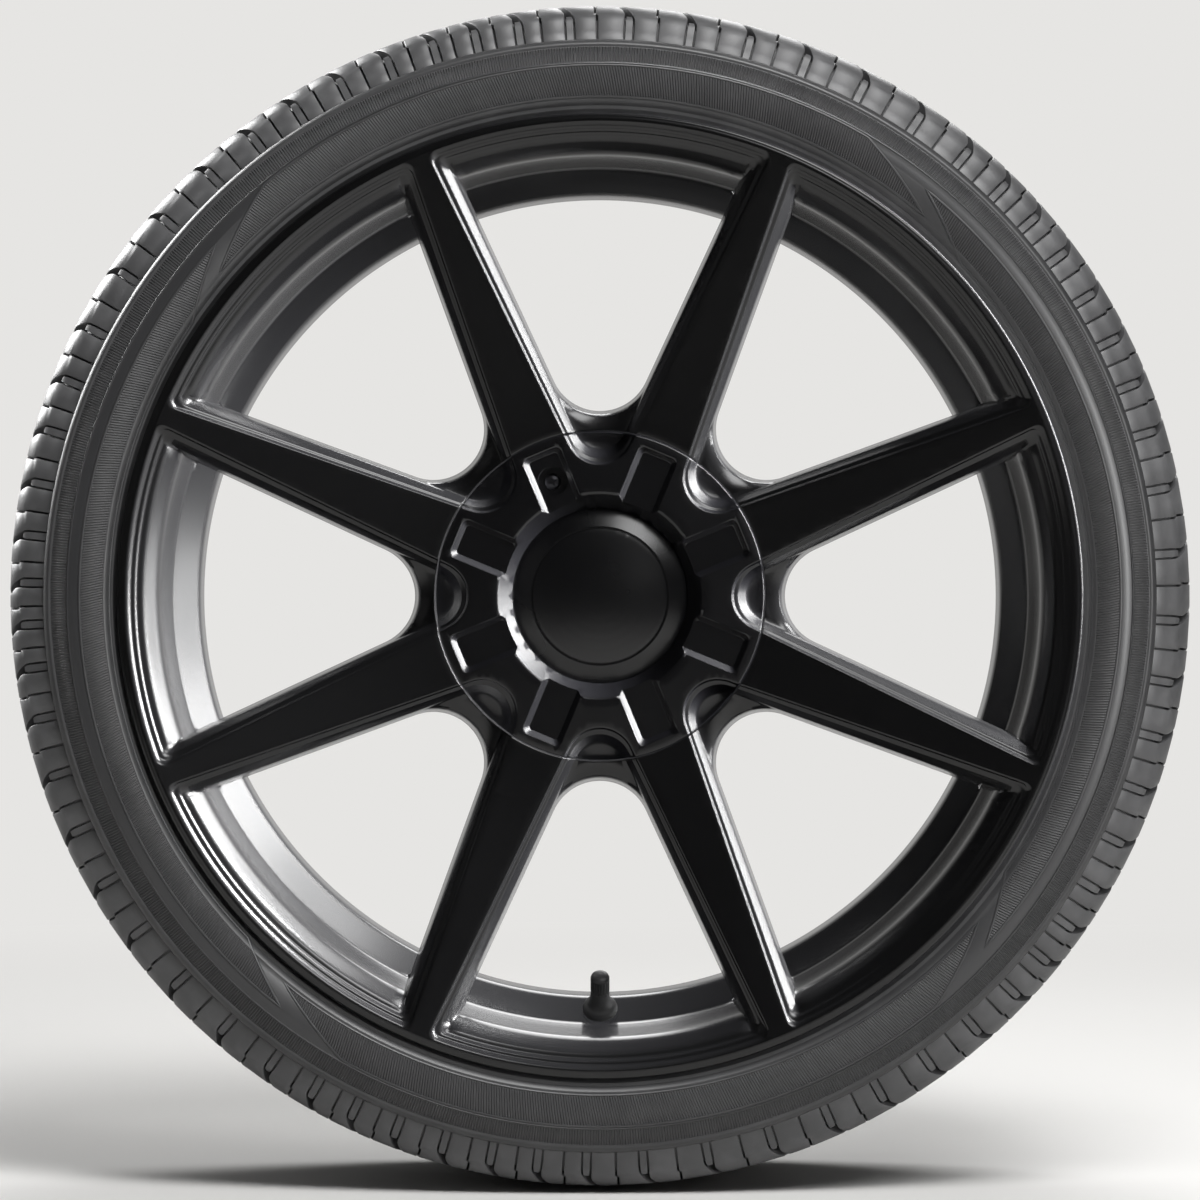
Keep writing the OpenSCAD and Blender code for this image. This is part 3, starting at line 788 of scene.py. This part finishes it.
    def hub(self, draft: Draft) -> None:
        """Adds the mounting pad, the bore and the bolt holes."""
        at = (0, self.bolt_circle_r)
        turns = [i * 360 / self.bolts for i in range(self.bolts)]
        mouth_r, rim_r, bore_edge = self.bolt_r + 0.6, self.pad_r - 0.4, self.bore_r + 1.5
        holes = [turned(circle(at, mouth_r, 32), turn) for turn in turns]
        points, faces = sheet((bore_edge, rim_r), holes, lambda r: np.full_like(r, self.pad_z), 7.0)
        draft.add(points, [f[::-1] for f in faces])
        draft.revolve(np.array(((78.0, 47.0), (76.6, 45.3), (rim_r, self.pad_z))), 160, flip=True)
        bore = ((bore_edge, self.pad_z), (self.bore_r, 46.5), (self.bore_r, 68.0), (43.0, 68.0), (46.0, self.seat_z))
        draft.revolve(np.array(bore), 160, flip=True)
        seats = [turned(circle(at, self.seat_r, 32), turn) for turn in turns]
        draft.add(*sheet((46.0, 84.0), seats, lambda r: np.full_like(r, self.seat_z), 8.0))
        wall = [(mouth_r, self.pad_z), (self.bolt_r, self.pad_z + 0.6), (self.bolt_r, 58.8), (self.seat_r, self.seat_z)]
        for turn in turns:
            rows = [np.column_stack((circle(at, r, 32), np.full(32, z))) for r, z in wall]
            draft.grid(np.stack([turned(row, turn) for row in rows]), wraps=True, flip=True)


@dataclass
class HubCover:
    """The moulded cover over the wheel bolts, with its pockets and scooped window ends."""

    shape: SpokedFace
    cap_seat_r: float = 46.95
    cap_seat_z: float = 83.4
    dish_slope: float = 1.517
    pocket_floor_w: float = 16.4
    pocket_floor_z: float = 90.4
    pocket_draft: float = 2.15
    pocket_edge: float = 0.9
    pocket_end: float = 80.0
    screw_y: float = 66.0
    screw_well_r: float = 8.0
    screw_floor_z: float = 83.0
    screw_pocket: int = 0
    dish: tuple[tuple[float, float], ...] = ((46.95, 83.4), (53.6, 93.49), (54.3, 94.55), (54.9, 94.95), (55.7, 95.12))

    def height(self, r: np.ndarray) -> np.ndarray:
        """Height of the cover's face at radius r, dish included."""
        r = np.asarray(r, float)
        return np.where(r < self.dish[-1][0], np.interp(r, *zip(*self.dish)), self.shape.face(r))

    def pocket(self, wide: float, corner: float) -> np.ndarray:
        """Outline of the top pocket at one level of its wall, without the end that opens on the dish.

        Args:
            wide: How far the outline stands off the floor's where the wall has its full height.
            corner: Radius of the outer corners.

        Returns:
            (n, 2) points from the lower left round to the lower right.
        """
        half, end = self.pocket_floor_w / 2, self.pocket_end + wide
        y = np.concatenate(([self.pocket_start()], np.linspace(52.0, 56.5, 8), np.linspace(59, end - corner, 7)))
        full = self.shape.face_hub_z - self.pocket_floor_z
        share = np.clip((self.height(np.hypot(half, y)) - self.pocket_floor_z) / full, 0, 1)
        left = np.column_stack((-half - wide * share, y))
        bend = arc((-half - wide + corner, end - corner), corner, 180, 90, 6)
        top = np.column_stack((np.linspace(bend[-1, 0], 0, 5), np.full(5, end)))
        line = np.concatenate((left, bend[1:], top[1:]))
        return np.concatenate((line, (line[:-1] * (-1, 1))[::-1]))

    def pocket_start(self) -> float:
        """Height y at which the floor's sides meet the dish."""
        r = self.cap_seat_r + (self.pocket_floor_z - self.cap_seat_z) / self.dish_slope
        return math.sqrt(r * r - (self.pocket_floor_w / 2) ** 2)

    def mouth(self) -> np.ndarray:
        """Points along the dish from the pocket's lower right back to its lower left."""
        half = self.pocket_floor_w / 2
        start = self.pocket_start()
        angle = math.degrees(math.atan2(start, half))
        return arc((0, 0), math.hypot(half, start), angle, 180 - angle, 8)[1:-1]

    def build(self, finish: bpy.types.Material) -> bpy.types.Object:
        """Builds the cover in its finish and puts it in the CAD node's place."""
        draft = Draft()
        s = self.shape
        angles = [(i + 0.5) * 360 / s.spokes for i in range(s.spokes)]
        brim = np.concatenate((self.pocket(self.pocket_draft + self.pocket_edge, 3.5), self.mouth()))
        rings = [*(r for r, _ in self.dish), *s.joint_rings(-1)]
        points, faces = sheet(rings, [*s.windows(0), *(turned(brim, a) for a in angles)], self.height, 3.5)
        points[:, 2] -= s.sunk(radii(points))
        draft.add(points, faces)
        s.walls(draft, -1)
        for number, angle in enumerate(angles):
            self.pocket_walls(draft, angle, number == self.screw_pocket)
        seat = self.cap_seat_z
        draft.revolve(np.array(((self.cap_seat_r, seat), (self.cap_seat_r, 80.0), (41.0, 80.0), (41.0, 73.5))), 160)
        edge = s.cover_r - s.joint_gap / 2
        draft.revolve(np.array(((edge, s.face_hub_z - s.joint_edge_r), (edge, 79.2), (84.6, 79.2))), 192, flip=True)
        made = draft.object("hub_cover_moulded", [finish])
        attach(made, "wheel")
        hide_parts("hub_cover")
        return made

    def pocket_walls(self, draft: Draft, angle: float, has_screw: bool) -> None:
        """Adds the walls and the floor of one pocket.

        Args:
            draft: Mesh to add to.
            angle: Its angle from the top.
            has_screw: Whether the well of the cover's screw goes down from its floor.
        """
        floor_z, out, edge = self.pocket_floor_z, self.pocket_draft, self.pocket_edge
        levels = (
            (out + edge, 3.5, 0.0), (out + 0.62 * edge, 3.4, 0.07), (out + 0.3 * edge, 3.2, 0.26),
            (out + 0.07 * edge, 3.0, 0.56), (out - 0.06, 2.9, 0.9), (0.3, 2.2, 3.2), (0.1, 2.1, 3.45),
            (-0.1, 2.0, 3.6),
        )
        rows = []
        for wide, corner, drop in levels:
            outline = self.pocket(wide, corner)
            z = np.minimum(self.height(radii(outline)), self.shape.face_hub_z) - drop
            rows.append(np.column_stack((outline, np.maximum(z, floor_z))))
        rows[0][:, 2] = np.maximum(self.height(radii(rows[0])), floor_z)
        stack = np.stack([turned(row, angle) for row in rows])
        draft.grid(stack, flip=True)
        border = np.concatenate((rows[-1][:, :2], self.mouth()))
        well = circle((0, self.screw_y), self.screw_well_r, 48)
        points, faces = patch(border, [well] if has_screw else [], floor_z)
        draft.add(turned(points, angle), faces)
        if has_screw:
            rings = [np.column_stack((well, np.full(48, z))) for z in (floor_z, self.screw_floor_z)]
            draft.grid(np.stack([turned(ring, angle) for ring in rings]), wraps=True)
            points, faces = patch(well, [], self.screw_floor_z)
            draft.add(turned(points, angle), faces)


# Tyre


@dataclass
class PanelPlan:
    """One panel of the side wall between two radii, with slanted ends.

    The four angles are clockwise from the top, in degrees, seen from the street.
    """

    outer_from: float
    outer_to: float
    inner_from: float
    inner_to: float
    outer_r: float
    inner_r: float


@dataclass
class Tyre:
    """The tyre: tread with long grooves, shoulder blocks with sipes, ribbed side walls and bead.

    half_width leaves half a millimetre for the ribs, so that they stay inside the CAD node's box.
    """

    radius: float = 318.6
    half_width: float = 114.45
    crown_r: float = 1000.0
    tread_half: float = 85.0
    shoulder_r: float = 16.0
    side_r: float = 24.6
    side_centre_r: float = 275.0
    pitches: int = 66
    groove_depth: float = 7.4
    sipe_half: float = 0.62
    panel_rise: float = 0.06
    panel_step: float = 0.9
    columns: dict[Side, int] = field(default_factory=lambda: {Side.STREET: 360, Side.CAR: 180})
    panels: tuple[PanelPlan, ...] = (
        PanelPlan(-39.2, 30.3, -49.6, 40.4, 281.0, 264.2),
        PanelPlan(140.8, 209.1, 130.7, 219.2, 281.0, 264.2),
        PanelPlan(38.7, 132.4, 47.3, 124.3, 275.5, 259.6),
        PanelPlan(217.8, 312.4, 225.9, 303.8, 275.5, 259.6),
    )

    def side_point(self, angle: float, lift: float = 0.0) -> tuple[float, float]:
        """Radius and height of the side wall at an angle of its arc, raised by lift."""
        a = math.radians(angle)
        z = self.half_width - self.side_r
        return self.side_centre_r + (self.side_r + lift) * math.cos(a), z + (self.side_r + lift) * math.sin(a)

    def side_height(self, r: np.ndarray) -> np.ndarray:
        """Height of the bare side wall at radius r."""
        d = np.clip(np.asarray(r, float) - self.side_centre_r, -self.side_r, self.side_r)
        return self.half_width - self.side_r + np.sqrt(self.side_r**2 - d**2)

    def pitch_angles(self) -> np.ndarray:
        """Where the pitches start, in degrees: their length varies round the tyre to spread its hum."""
        i = np.arange(self.pitches)
        turn = 2 * np.pi * i / self.pitches
        length = 1 + 0.17 * np.sin(turn * 5) + 0.09 * np.sin(turn * 13 + 1)
        return np.concatenate(([0.0], np.cumsum(length) / length.sum() * 360))[:-1]

    def tread_rows(self) -> list[tuple[float, ...]]:
        """The tread's rows from the middle to the shoulder's foot.

        Returns:
            For each row: radius, height, groove depth all round, then the cross groove's depth and half
            width, its shift in degrees, the sipe's depth, and the depth of the bar in the cross groove.
        """
        rows = []
        crown_c = self.radius - self.crown_r

        def crown(z: float) -> float:
            """Radius of the crown at distance z from the middle plane."""
            return crown_c + math.sqrt(self.crown_r**2 - z * z)

        d = self.groove_depth
        plan = (
            (0, 0, 0), (14.2, 0, 0), (14.8, 0.3, 0), (16.6, d, 0), (23.4, d, 0), (25.2, 0.3, 0), (25.8, 0, 2.4),
            (32, 0, 2.6), (38, 0, 0), (45, 0, 2.6), (51.2, 0, 2.6), (51.8, 0.3, 2.6), (53.6, d, 0), (60.4, d, 0),
            (62.2, 0.3, 5.2), (62.8, 0, 5.4), (74, 0, 5.6), (85, 0, 5.4),
        )
        for z, down, cross in plan:
            shift = -0.9 - (85 - z) * 0.027
            rows.append((crown(z), z, down, cross, 1.1 if z < 57 else 1.7, shift, cross * 0.7, cross))
        start = math.degrees(math.asin(self.tread_half / self.crown_r))
        reach = self.crown_r - self.shoulder_r
        centre = (crown_c + reach * math.cos(math.radians(start)), reach * math.sin(math.radians(start)))
        bends = (
            (8, 5.6, 1.7, -0.7, 4.2, 5.6), (16, 5.6, 1.7, -0.5, 4.2, 5.6), (24, 5.4, 1.75, -0.3, 4.0, 5.4),
            (32, 5.0, 1.85, -0.1, 4.0, 5.0), (39, 4.6, 2.0, 0.05, 3.8, 4.4), (43, 4.2, 2.2, 0.1, 3.6, 2.2),
            (46, 4.0, 2.45, 0.15, 3.4, 0.7), (52, 3.6, 2.75, 0.2, 3.2, 0.35), (59, 3.2, 2.9, 0.2, 3.0, 0.3),
            (66, 2.8, 2.9, 0.2, 2.8, 0.3),
        )
        for turn, cross, half, shift, sipe, bar in bends:
            (r, z), = arc(centre, self.shoulder_r, start + turn, start + turn, 0)
            rows.append((r, z, 0, cross, half, shift, sipe, bar))
        foot = self.side_point(36.5)
        last = rows[-1]
        for t, lowered in ((0.4, 2.3), (0.88, 1.6)):
            at = (last[0] + (foot[0] - last[0]) * t, last[1] + (foot[1] - last[1]) * t)
            rows.append((*at, 0, lowered, 2.9, 0.2, lowered, 0.3))
        rows.append((*foot, 1.0, 0, 2.9, 0.2, 0, 0))
        rows.append((foot[0] - 0.5, foot[1] - 0.9, 0.6, 0, 2.9, 0.2, 0, 0))
        return rows

    def tread(self, draft: Draft, side: Side) -> None:
        """Adds one side's half of the tread, from the middle plane to the shoulder's foot."""
        starts = self.pitch_angles() - 4.7
        if side is Side.CAR:
            starts = starts + 2.7
        ends = np.append(starts[1:], starts[0] + 360)
        grid = []
        for r, z, down, cross, half, shift, sipe, bar in self.tread_rows():
            to_deg = 180 / math.pi / r
            w, v, edge = half * to_deg, self.sipe_half * to_deg, 0.5 * to_deg
            slit = min(0.75, half * 0.45) * to_deg
            hook = -0.35 if 80 < z < 96 else 0.0
            angles, depths = [], []
            for start, end in zip(starts, ends):
                pitch = end - start
                a, b = start + 0.25 * pitch + shift, start + 0.75 * pitch + hook * 0.6
                angles += [start, a - w - edge, a - w, a - w + slit * 0.3, a - w + slit, a - w + slit * 1.5]
                depths += [0, 0, 0.3, cross, cross, bar]
                angles += [a + w - slit * 1.5, a + w - slit, a + w - slit * 0.3, a + w, a + w + edge]
                depths += [bar, cross, cross, 0.3, 0]
                angles += [b - v - edge, b - v, b - v * 0.7, b + v * 0.7, b + v, b + v + edge]
                depths += [0, 0.25, sipe, sipe, 0.25, 0]
            depth = down + np.array(depths) * (sipe > 0 or cross > 0)
            out, up = self.lean_out(z)
            grid.append(clockwise(r - depth * out, np.radians(np.array(angles)), (z - depth * up) * side.value))
        draft.grid(np.stack(grid), wraps=True, flip=side is Side.STREET)

    def lean_out(self, z: float) -> tuple[float, float]:
        """Direction of the tread's surface at height z, as shares along radius and height."""
        a = math.radians(np.interp(z, (0, 62, 85, 93, 98, 101, 105), (0, 3, 5, 30, 52, 66, 40)))
        return math.cos(a), math.sin(a)

    def side_wall(self, draft: Draft, side: Side) -> None:
        """Adds one side wall, from the shoulder's foot to the rim's flange."""
        smooth, serrated, polished = 1, 2, 4
        plan = [
            (33.5, -1.2, smooth), (35.2, -0.7, smooth), (36.2, 0.2, smooth), (37.2, 0.95, smooth),
            (38.6, 1.2, smooth), (42, 1.4, smooth), (46, 1.2, smooth), (47.4, 0.8, smooth), (48.2, 0.1, smooth),
            (48.9, -0.1, serrated), (54, -0.1, serrated), (60, -0.1, serrated), (66, -0.1, serrated),
            (71.4, -0.15, polished), (71.9, -0.1, polished), (72.4, 0.45, polished), (73.0, 0.62, polished),
            (73.8, 0.62, polished), (74.6, 0.1, polished), (75.4, 0, polished), (80, 0, polished),
            (85, 0, polished), (88.2, 0, smooth), (90, 0, smooth), (98, 0, smooth), (106, 0, smooth),
            (113, 0, smooth), (117.8, 0, smooth),
            (118.6, 0.25, smooth), (120, 0.35, smooth), (124, 0.2, smooth), (128, -0.2, smooth),
        ]
        profile = [self.side_point(a, lift) for a, lift, _ in plan]
        profile += [(258.2, 108.9), (257.2, 107.9), (256.2, 106.9), (255.0, 106.0), (252.0, 103.6), (246.4, 101.5)]
        finishes = [f for _, _, f in plan] + [smooth] * 5
        a = np.linspace(0, 2 * np.pi, self.columns[side], endpoint=False)
        r, z = np.array(profile).T[:, :, None]
        draft.grid(clockwise(r, a, z * side.value), wraps=True, flip=side is Side.STREET, finishes=finishes)

    def panel(self, draft: Draft, plan: PanelPlan, side: Side) -> None:
        """Adds one hatched panel of a side wall and the rib round it."""
        sign = side.value
        radii = np.linspace(plan.outer_r, plan.inner_r, 9)
        columns = int((plan.inner_to - plan.inner_from) / self.panel_step)
        rows = []
        for r in radii:
            t = (plan.outer_r - r) / (plan.outer_r - plan.inner_r)
            start = plan.outer_from + (plan.inner_from - plan.outer_from) * t
            end = plan.outer_to + (plan.inner_to - plan.outer_to) * t
            a = np.radians(np.linspace(start, end, columns)) * sign
            rows.append(clockwise(r, a, (float(self.side_height(r)) + self.panel_rise) * sign))
        draft.grid(np.stack(rows), flip=True, finishes=[3] * 8)
        corners = [
            (plan.outer_from, plan.outer_r), (plan.outer_to, plan.outer_r),
            (plan.inner_to, plan.inner_r), (plan.inner_from, plan.inner_r),
        ]
        path = []
        for (a0, r0), (a1, r1) in zip(corners, [*corners[1:], corners[0]]):
            steps = max(10, int(abs(a1 - a0) / self.panel_step))
            path += [(a0 + (a1 - a0) * i / steps, r0 + (r1 - r0) * i / steps) for i in range(steps)]
        self.rib(draft, np.array(path), sign)

    def rib(self, draft: Draft, path: np.ndarray, sign: int, half: float = 0.8, rise: float = 0.5) -> None:
        """Adds a low raised rib along a closed path on the side wall.

        Args:
            draft: Mesh to add to.
            path: (n, 2) points of clockwise degrees and radius.
            sign: 1 on the street side and -1 on the car side.
            half: Half its width.
            rise: How far it stands out.
        """
        a, r = np.radians(path[:, 0]) * sign, path[:, 1]
        xy = np.column_stack((r * np.sin(a), r * np.cos(a)))
        along = np.roll(xy, -1, 0) - np.roll(xy, 1, 0)
        along /= np.linalg.norm(along, axis=1)[:, None]
        across = np.column_stack((along[:, 1], -along[:, 0]))
        rows = []
        profile = ((-1, -0.1), (-0.6, rise * 0.85), (-0.3, rise), (0.3, rise), (0.6, rise * 0.85), (1, -0.1))
        for share, up in profile:
            spot = xy + across * (half * share)
            z = self.side_height(radii(spot)) + up
            rows.append(np.column_stack((spot, z * sign)))
        draft.grid(np.stack(rows), wraps=True, flip=sign > 0, finishes=[1] * 5)

    def build(self, finishes: Sequence[bpy.types.Material]) -> bpy.types.Object:
        """Builds the tyre and puts it in the CAD node's place.

        Args:
            finishes: Tread, smooth, serrated, hatched and polished rubber.

        Returns:
            The tyre.
        """
        draft = Draft()
        for side in Side:
            self.tread(draft, side)
            self.side_wall(draft, side)
        for plan in self.panels:
            self.panel(draft, plan, Side.STREET)
        made = draft.object("tyre_moulded", finishes, sharp=38)
        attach(made, "wheel")
        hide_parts("tyre")
        return made


# Small CAD pieces and the studio


@dataclass
class SmallParts:
    """CAD nodes whose shape is right: they get their finish and even normals."""

    finishes: dict[str, Finish] = field(default_factory=lambda: {
        "cover_screw": BLACK_STEEL,
        "centre_cap": CAP_ABS,
        "cap_spring_ring": SPRING_WIRE,
        "valve_body": VALVE_RUBBER,
        "valve_stem": TURNED_BRASS,
        "valve_core": TURNED_BRASS,
        "valve_core_seal": RED_SEAL,
        "valve_spring": SPRING_WIRE,
        "valve_pin": TURNED_BRASS,
        "valve_pin_seal": VALVE_RUBBER,
        "valve_cap": CAP_POLYMER,
        "valve_cap_seal": VALVE_RUBBER,
    })

    def dress(self, nodes: dict[str, bpy.types.Object]) -> None:
        """Gives each of the CAD objects, by name, its material and even normals."""
        built: dict[str, bpy.types.Material] = {}
        for name, finish in self.finishes.items():
            if finish.name not in built:
                built[finish.name] = finish.build()
            for place in nodes[name].material_slots:
                place.material = built[finish.name]
            weld = nodes[name].modifiers.new("weld", "WELD")
            weld.merge_threshold = 1e-6
            smooth = nodes[name].modifiers.new("even", "WEIGHTED_NORMAL")
            smooth.keep_sharp = True
            LOG.info("%s: %s", name, finish.name)


class Lit(Enum):
    """What a lamp lights."""

    ALL = "all"
    COAT = "coat"
    RUBBER = "rubber"
    FLOOR = "rubber and floor"


@dataclass(frozen=True)
class Lamp:
    """A soft box: where it stands and its size in metres, its power in watts and where it points.

    Rim and tyre are lit in the photo as if they were two pictures. So some lamps light the tyre
    alone, or tyre and floor. One lights the painted pieces alone, and they cast no shadow in its
    light: the photo has such highlights low on the left of the barrel, clear of the spokes.
    """

    name: str
    place: tuple[float, float, float]
    width: float
    height: float
    power: float
    aim: tuple[float, float, float] = (0.0, 0.0, 0.0)
    lit: Lit = Lit.ALL

    def build(self, pieces: dict[Lit, Sequence[bpy.types.Object]], floor: bpy.types.Object) -> None:
        """Adds the lamp. The camera doesn't see it, the wheel's reflections do.

        Args:
            pieces: The painted pieces and those of rubber.
            floor: The one thing that blocks the light of a lamp for the coat.
        """
        data = bpy.data.lights.new(self.name, "AREA")
        data.shape = "RECTANGLE"
        data.size, data.size_y = self.width, self.height
        data.energy = self.power
        lamp = bpy.data.objects.new(self.name, data)
        lamp.location = self.place
        lamp.rotation_euler = (Vector(self.aim) - Vector(self.place)).to_track_quat("-Z", "Y").to_euler()
        lamp.visible_camera = False
        bpy.context.scene.collection.objects.link(lamp)
        if self.lit is not Lit.ALL:
            lit = bpy.data.collections.new(f"{self.name}_lit")
            for piece in (*pieces[self.lit], *([floor] if self.lit is Lit.FLOOR else [])):
                lit.objects.link(piece)
            lamp.light_linking.receiver_collection = lit
        if self.lit is Lit.COAT:
            blocks = bpy.data.collections.new(f"{self.name}_blocks")
            blocks.objects.link(floor)
            lamp.light_linking.blocker_collection = blocks


@dataclass
class Studio:
    """Pale round floor that runs on into a pale surround, soft boxes and the camera.

    The paper turns to the surround's tone between the distances paper_ends. Reflections have
    front_tone in front of the wheel and back_tone behind it. They turn over floor_turns on the floor,
    in metres, and over sky_turns in the surround, in the y part of a direction.
    """

    floor_z: float = -0.3186
    floor_r: float = 12.0
    floor_steps: int = 96
    pale: str = "#e6e5e3"
    ambient: float = 0.12
    front_tone: float = 0.04
    back_tone: float = 0.75
    paper_ends: tuple[float, float] = (0.8, 2.4)
    floor_turns: tuple[float, float] = (0.2, 2.0)
    sky_turns: tuple[float, float] = (0.35, 0.7)
    distance: float = 3.0
    lens: float = 163.7
    drop: float = 0.0022
    lamps: tuple[Lamp, ...] = (
        Lamp("key", (1.1, -2.1, 2.0), 1.2, 1.2, 45.0),
        Lamp("fill", (-2.2, -2.4, 0.9), 1.6, 1.6, 1.0),
        Lamp("front", (0.75, -3.0, 0.45), 0.5, 0.5, 0.55),
        Lamp("back", (0.4, 2.0, 2.2), 1.6, 1.6, 60.0),
        Lamp("top", (0.5, -1.8, 2.3), 1.2, 1.2, 70.0, lit=Lit.FLOOR),
        Lamp("right", (1.6, -2.3, 0.3), 0.8, 1.2, 45.0, lit=Lit.RUBBER),
        Lamp("left", (-1.9, 1.15, 1.3), 1.2, 1.6, 190.0, lit=Lit.RUBBER),
        Lamp("strip", (2.05, 0.25, 0.95), 0.9, 1.9, 1500.0, (-0.2, 0.0, -0.05), lit=Lit.COAT),
    )

    def build(self, pieces: dict[Lit, Sequence[bpy.types.Object]]) -> None:
        """Makes floor, world, lamps and camera. The pieces are sorted by what lights them."""
        scene = bpy.context.scene
        scene.view_settings.view_transform = "Standard"
        floor = self.floor()
        self.world()
        for lamp in self.lamps:
            lamp.build(pieces, floor)
        camera = bpy.data.objects.new("camera", bpy.data.cameras.new("camera"))
        camera.data.lens, camera.data.sensor_width = self.lens, 36
        camera.location = (0, -self.distance, -self.drop)
        camera.rotation_euler = (math.radians(90), 0, 0)
        scene.collection.objects.link(camera)
        scene.camera = camera

    def floor(self) -> bpy.types.Object:
        """Adds the floor: matt paper round the wheel that turns to the surround's even tone further out."""
        n = self.floor_steps
        points = [(0.0, 0.0, self.floor_z), *((x, y, self.floor_z) for x, y in circle((0, 0), self.floor_r, n))]
        mesh = bpy.data.meshes.new("studio_floor")
        mesh.from_pydata(points, [], [(0, 1 + i, 1 + (i + 1) % n) for i in range(n)])
        floor = bpy.data.objects.new("studio_floor", mesh)
        bpy.context.scene.collection.objects.link(floor)
        # Background paper: matt, pale and slightly fibrous. It shows the wheel's shadow.
        material = Finish(
            "matt_background_paper", "#dedddb", 0.85, grain_mm=3.0, relief_mm=0.05, patch_mm=600, spread=0.01
        ).build()
        tree = material.node_tree
        place = node(tree, "ShaderNodeTexCoord").outputs["Object"]
        away = node(tree, "ShaderNodeVectorMath", {"operation": "LENGTH"}, i0=place).outputs["Value"]
        path = node(tree, "ShaderNodeLightPath").outputs
        behind = self.blend(tree, node(tree, "ShaderNodeSeparateXYZ", Vector=place).outputs[1], *self.floor_turns, True)
        glossy = node(tree, "ShaderNodeMix", i0=path["Is Glossy Ray"], i2=1.0, i3=behind)
        even = node(tree, "ShaderNodeEmission", Color=linear(self.pale), Strength=glossy.outputs[0])
        seen = path["Is Camera Ray"]
        for kind in ("Is Glossy Ray", "Is Transmission Ray"):
            seen = node(tree, "ShaderNodeMath", {"operation": "MAXIMUM"}, i0=seen, i1=path[kind]).outputs[0]
        far = self.blend(tree, away, *self.paper_ends)
        share = node(tree, "ShaderNodeMath", {"operation": "MULTIPLY"}, i0=seen, i1=far)
        paper = tree.nodes["Principled BSDF"].outputs[0]
        mix = node(tree, "ShaderNodeMixShader", i0=share.outputs[0], i1=paper, i2=even.outputs[0])
        tree.links.new(mix.outputs[0], tree.nodes["Material Output"].inputs["Surface"])
        mesh.materials.append(material)
        return floor

    def blend(
        self, tree: bpy.types.NodeTree, value: bpy.types.NodeSocket, start: float, end: float, mirrored: bool = False
    ) -> bpy.types.NodeSocket:
        """Adds a smooth step.

        Args:
            tree: The node tree.
            value: What it follows.
            start: Value where it begins.
            end: Value where it is done.
            mirrored: Goes from the tone of reflections in front of the wheel to that behind it, not 0 to 1.

        Returns:
            The step's socket.
        """
        low, high = (self.front_tone, self.back_tone) if mirrored else (0.0, 1.0)
        return node(
            tree, "ShaderNodeMapRange", {"interpolation_type": "SMOOTHSTEP"}, Value=value,
            i1=start, i2=end, i3=low, i4=high,
        ).outputs[0]

    def world(self) -> None:
        """Makes the surround: pale where it is seen, in reflections pale only behind the wheel."""
        world = bpy.data.worlds.new("studio")
        world.use_nodes = True
        tree = world.node_tree
        path = node(tree, "ShaderNodeLightPath").outputs
        way = node(tree, "ShaderNodeSeparateXYZ", Vector=node(tree, "ShaderNodeTexCoord").outputs["Generated"])
        behind = self.blend(tree, way.outputs[1], *self.sky_turns, True)
        glossy = node(tree, "ShaderNodeMix", i0=path["Is Glossy Ray"], i2=self.ambient, i3=behind)
        seen = node(tree, "ShaderNodeMix", i0=path["Is Camera Ray"], i2=glossy.outputs[0], i3=1.0)
        tree.links.new(seen.outputs[0], tree.nodes["Background"].inputs["Strength"])
        tree.nodes["Background"].inputs["Color"].default_value = linear(self.pale)
        bpy.context.scene.world = world


def main() -> None:
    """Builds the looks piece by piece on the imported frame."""
    logging.basicConfig(level=logging.INFO, format="%(name)s: %(message)s")
    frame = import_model()
    rubber = [f.build() for f in (TYRE_RUBBER, SIDE_RUBBER, SERRATED_RUBBER, HATCHED_RUBBER, POLISHED_RUBBER)]
    tyre = Tyre().build(rubber)
    LOG.info("tyre: %d faces", len(tyre.data.polygons))
    shape = SpokedFace()
    rim = Rim(shape).build(SATIN_COAT.build())
    LOG.info("rim: %d faces", len(rim.data.polygons))
    cover = HubCover(shape).build(PAINTED_ABS.build())
    LOG.info("hub cover: %d faces", len(cover.data.polygons))
    SmallParts().dress(frame["nodes"])
    Studio().build({Lit.COAT: (rim, cover), Lit.RUBBER: (tyre,), Lit.FLOOR: (tyre,)})


if __name__ == "__main__":
    main()
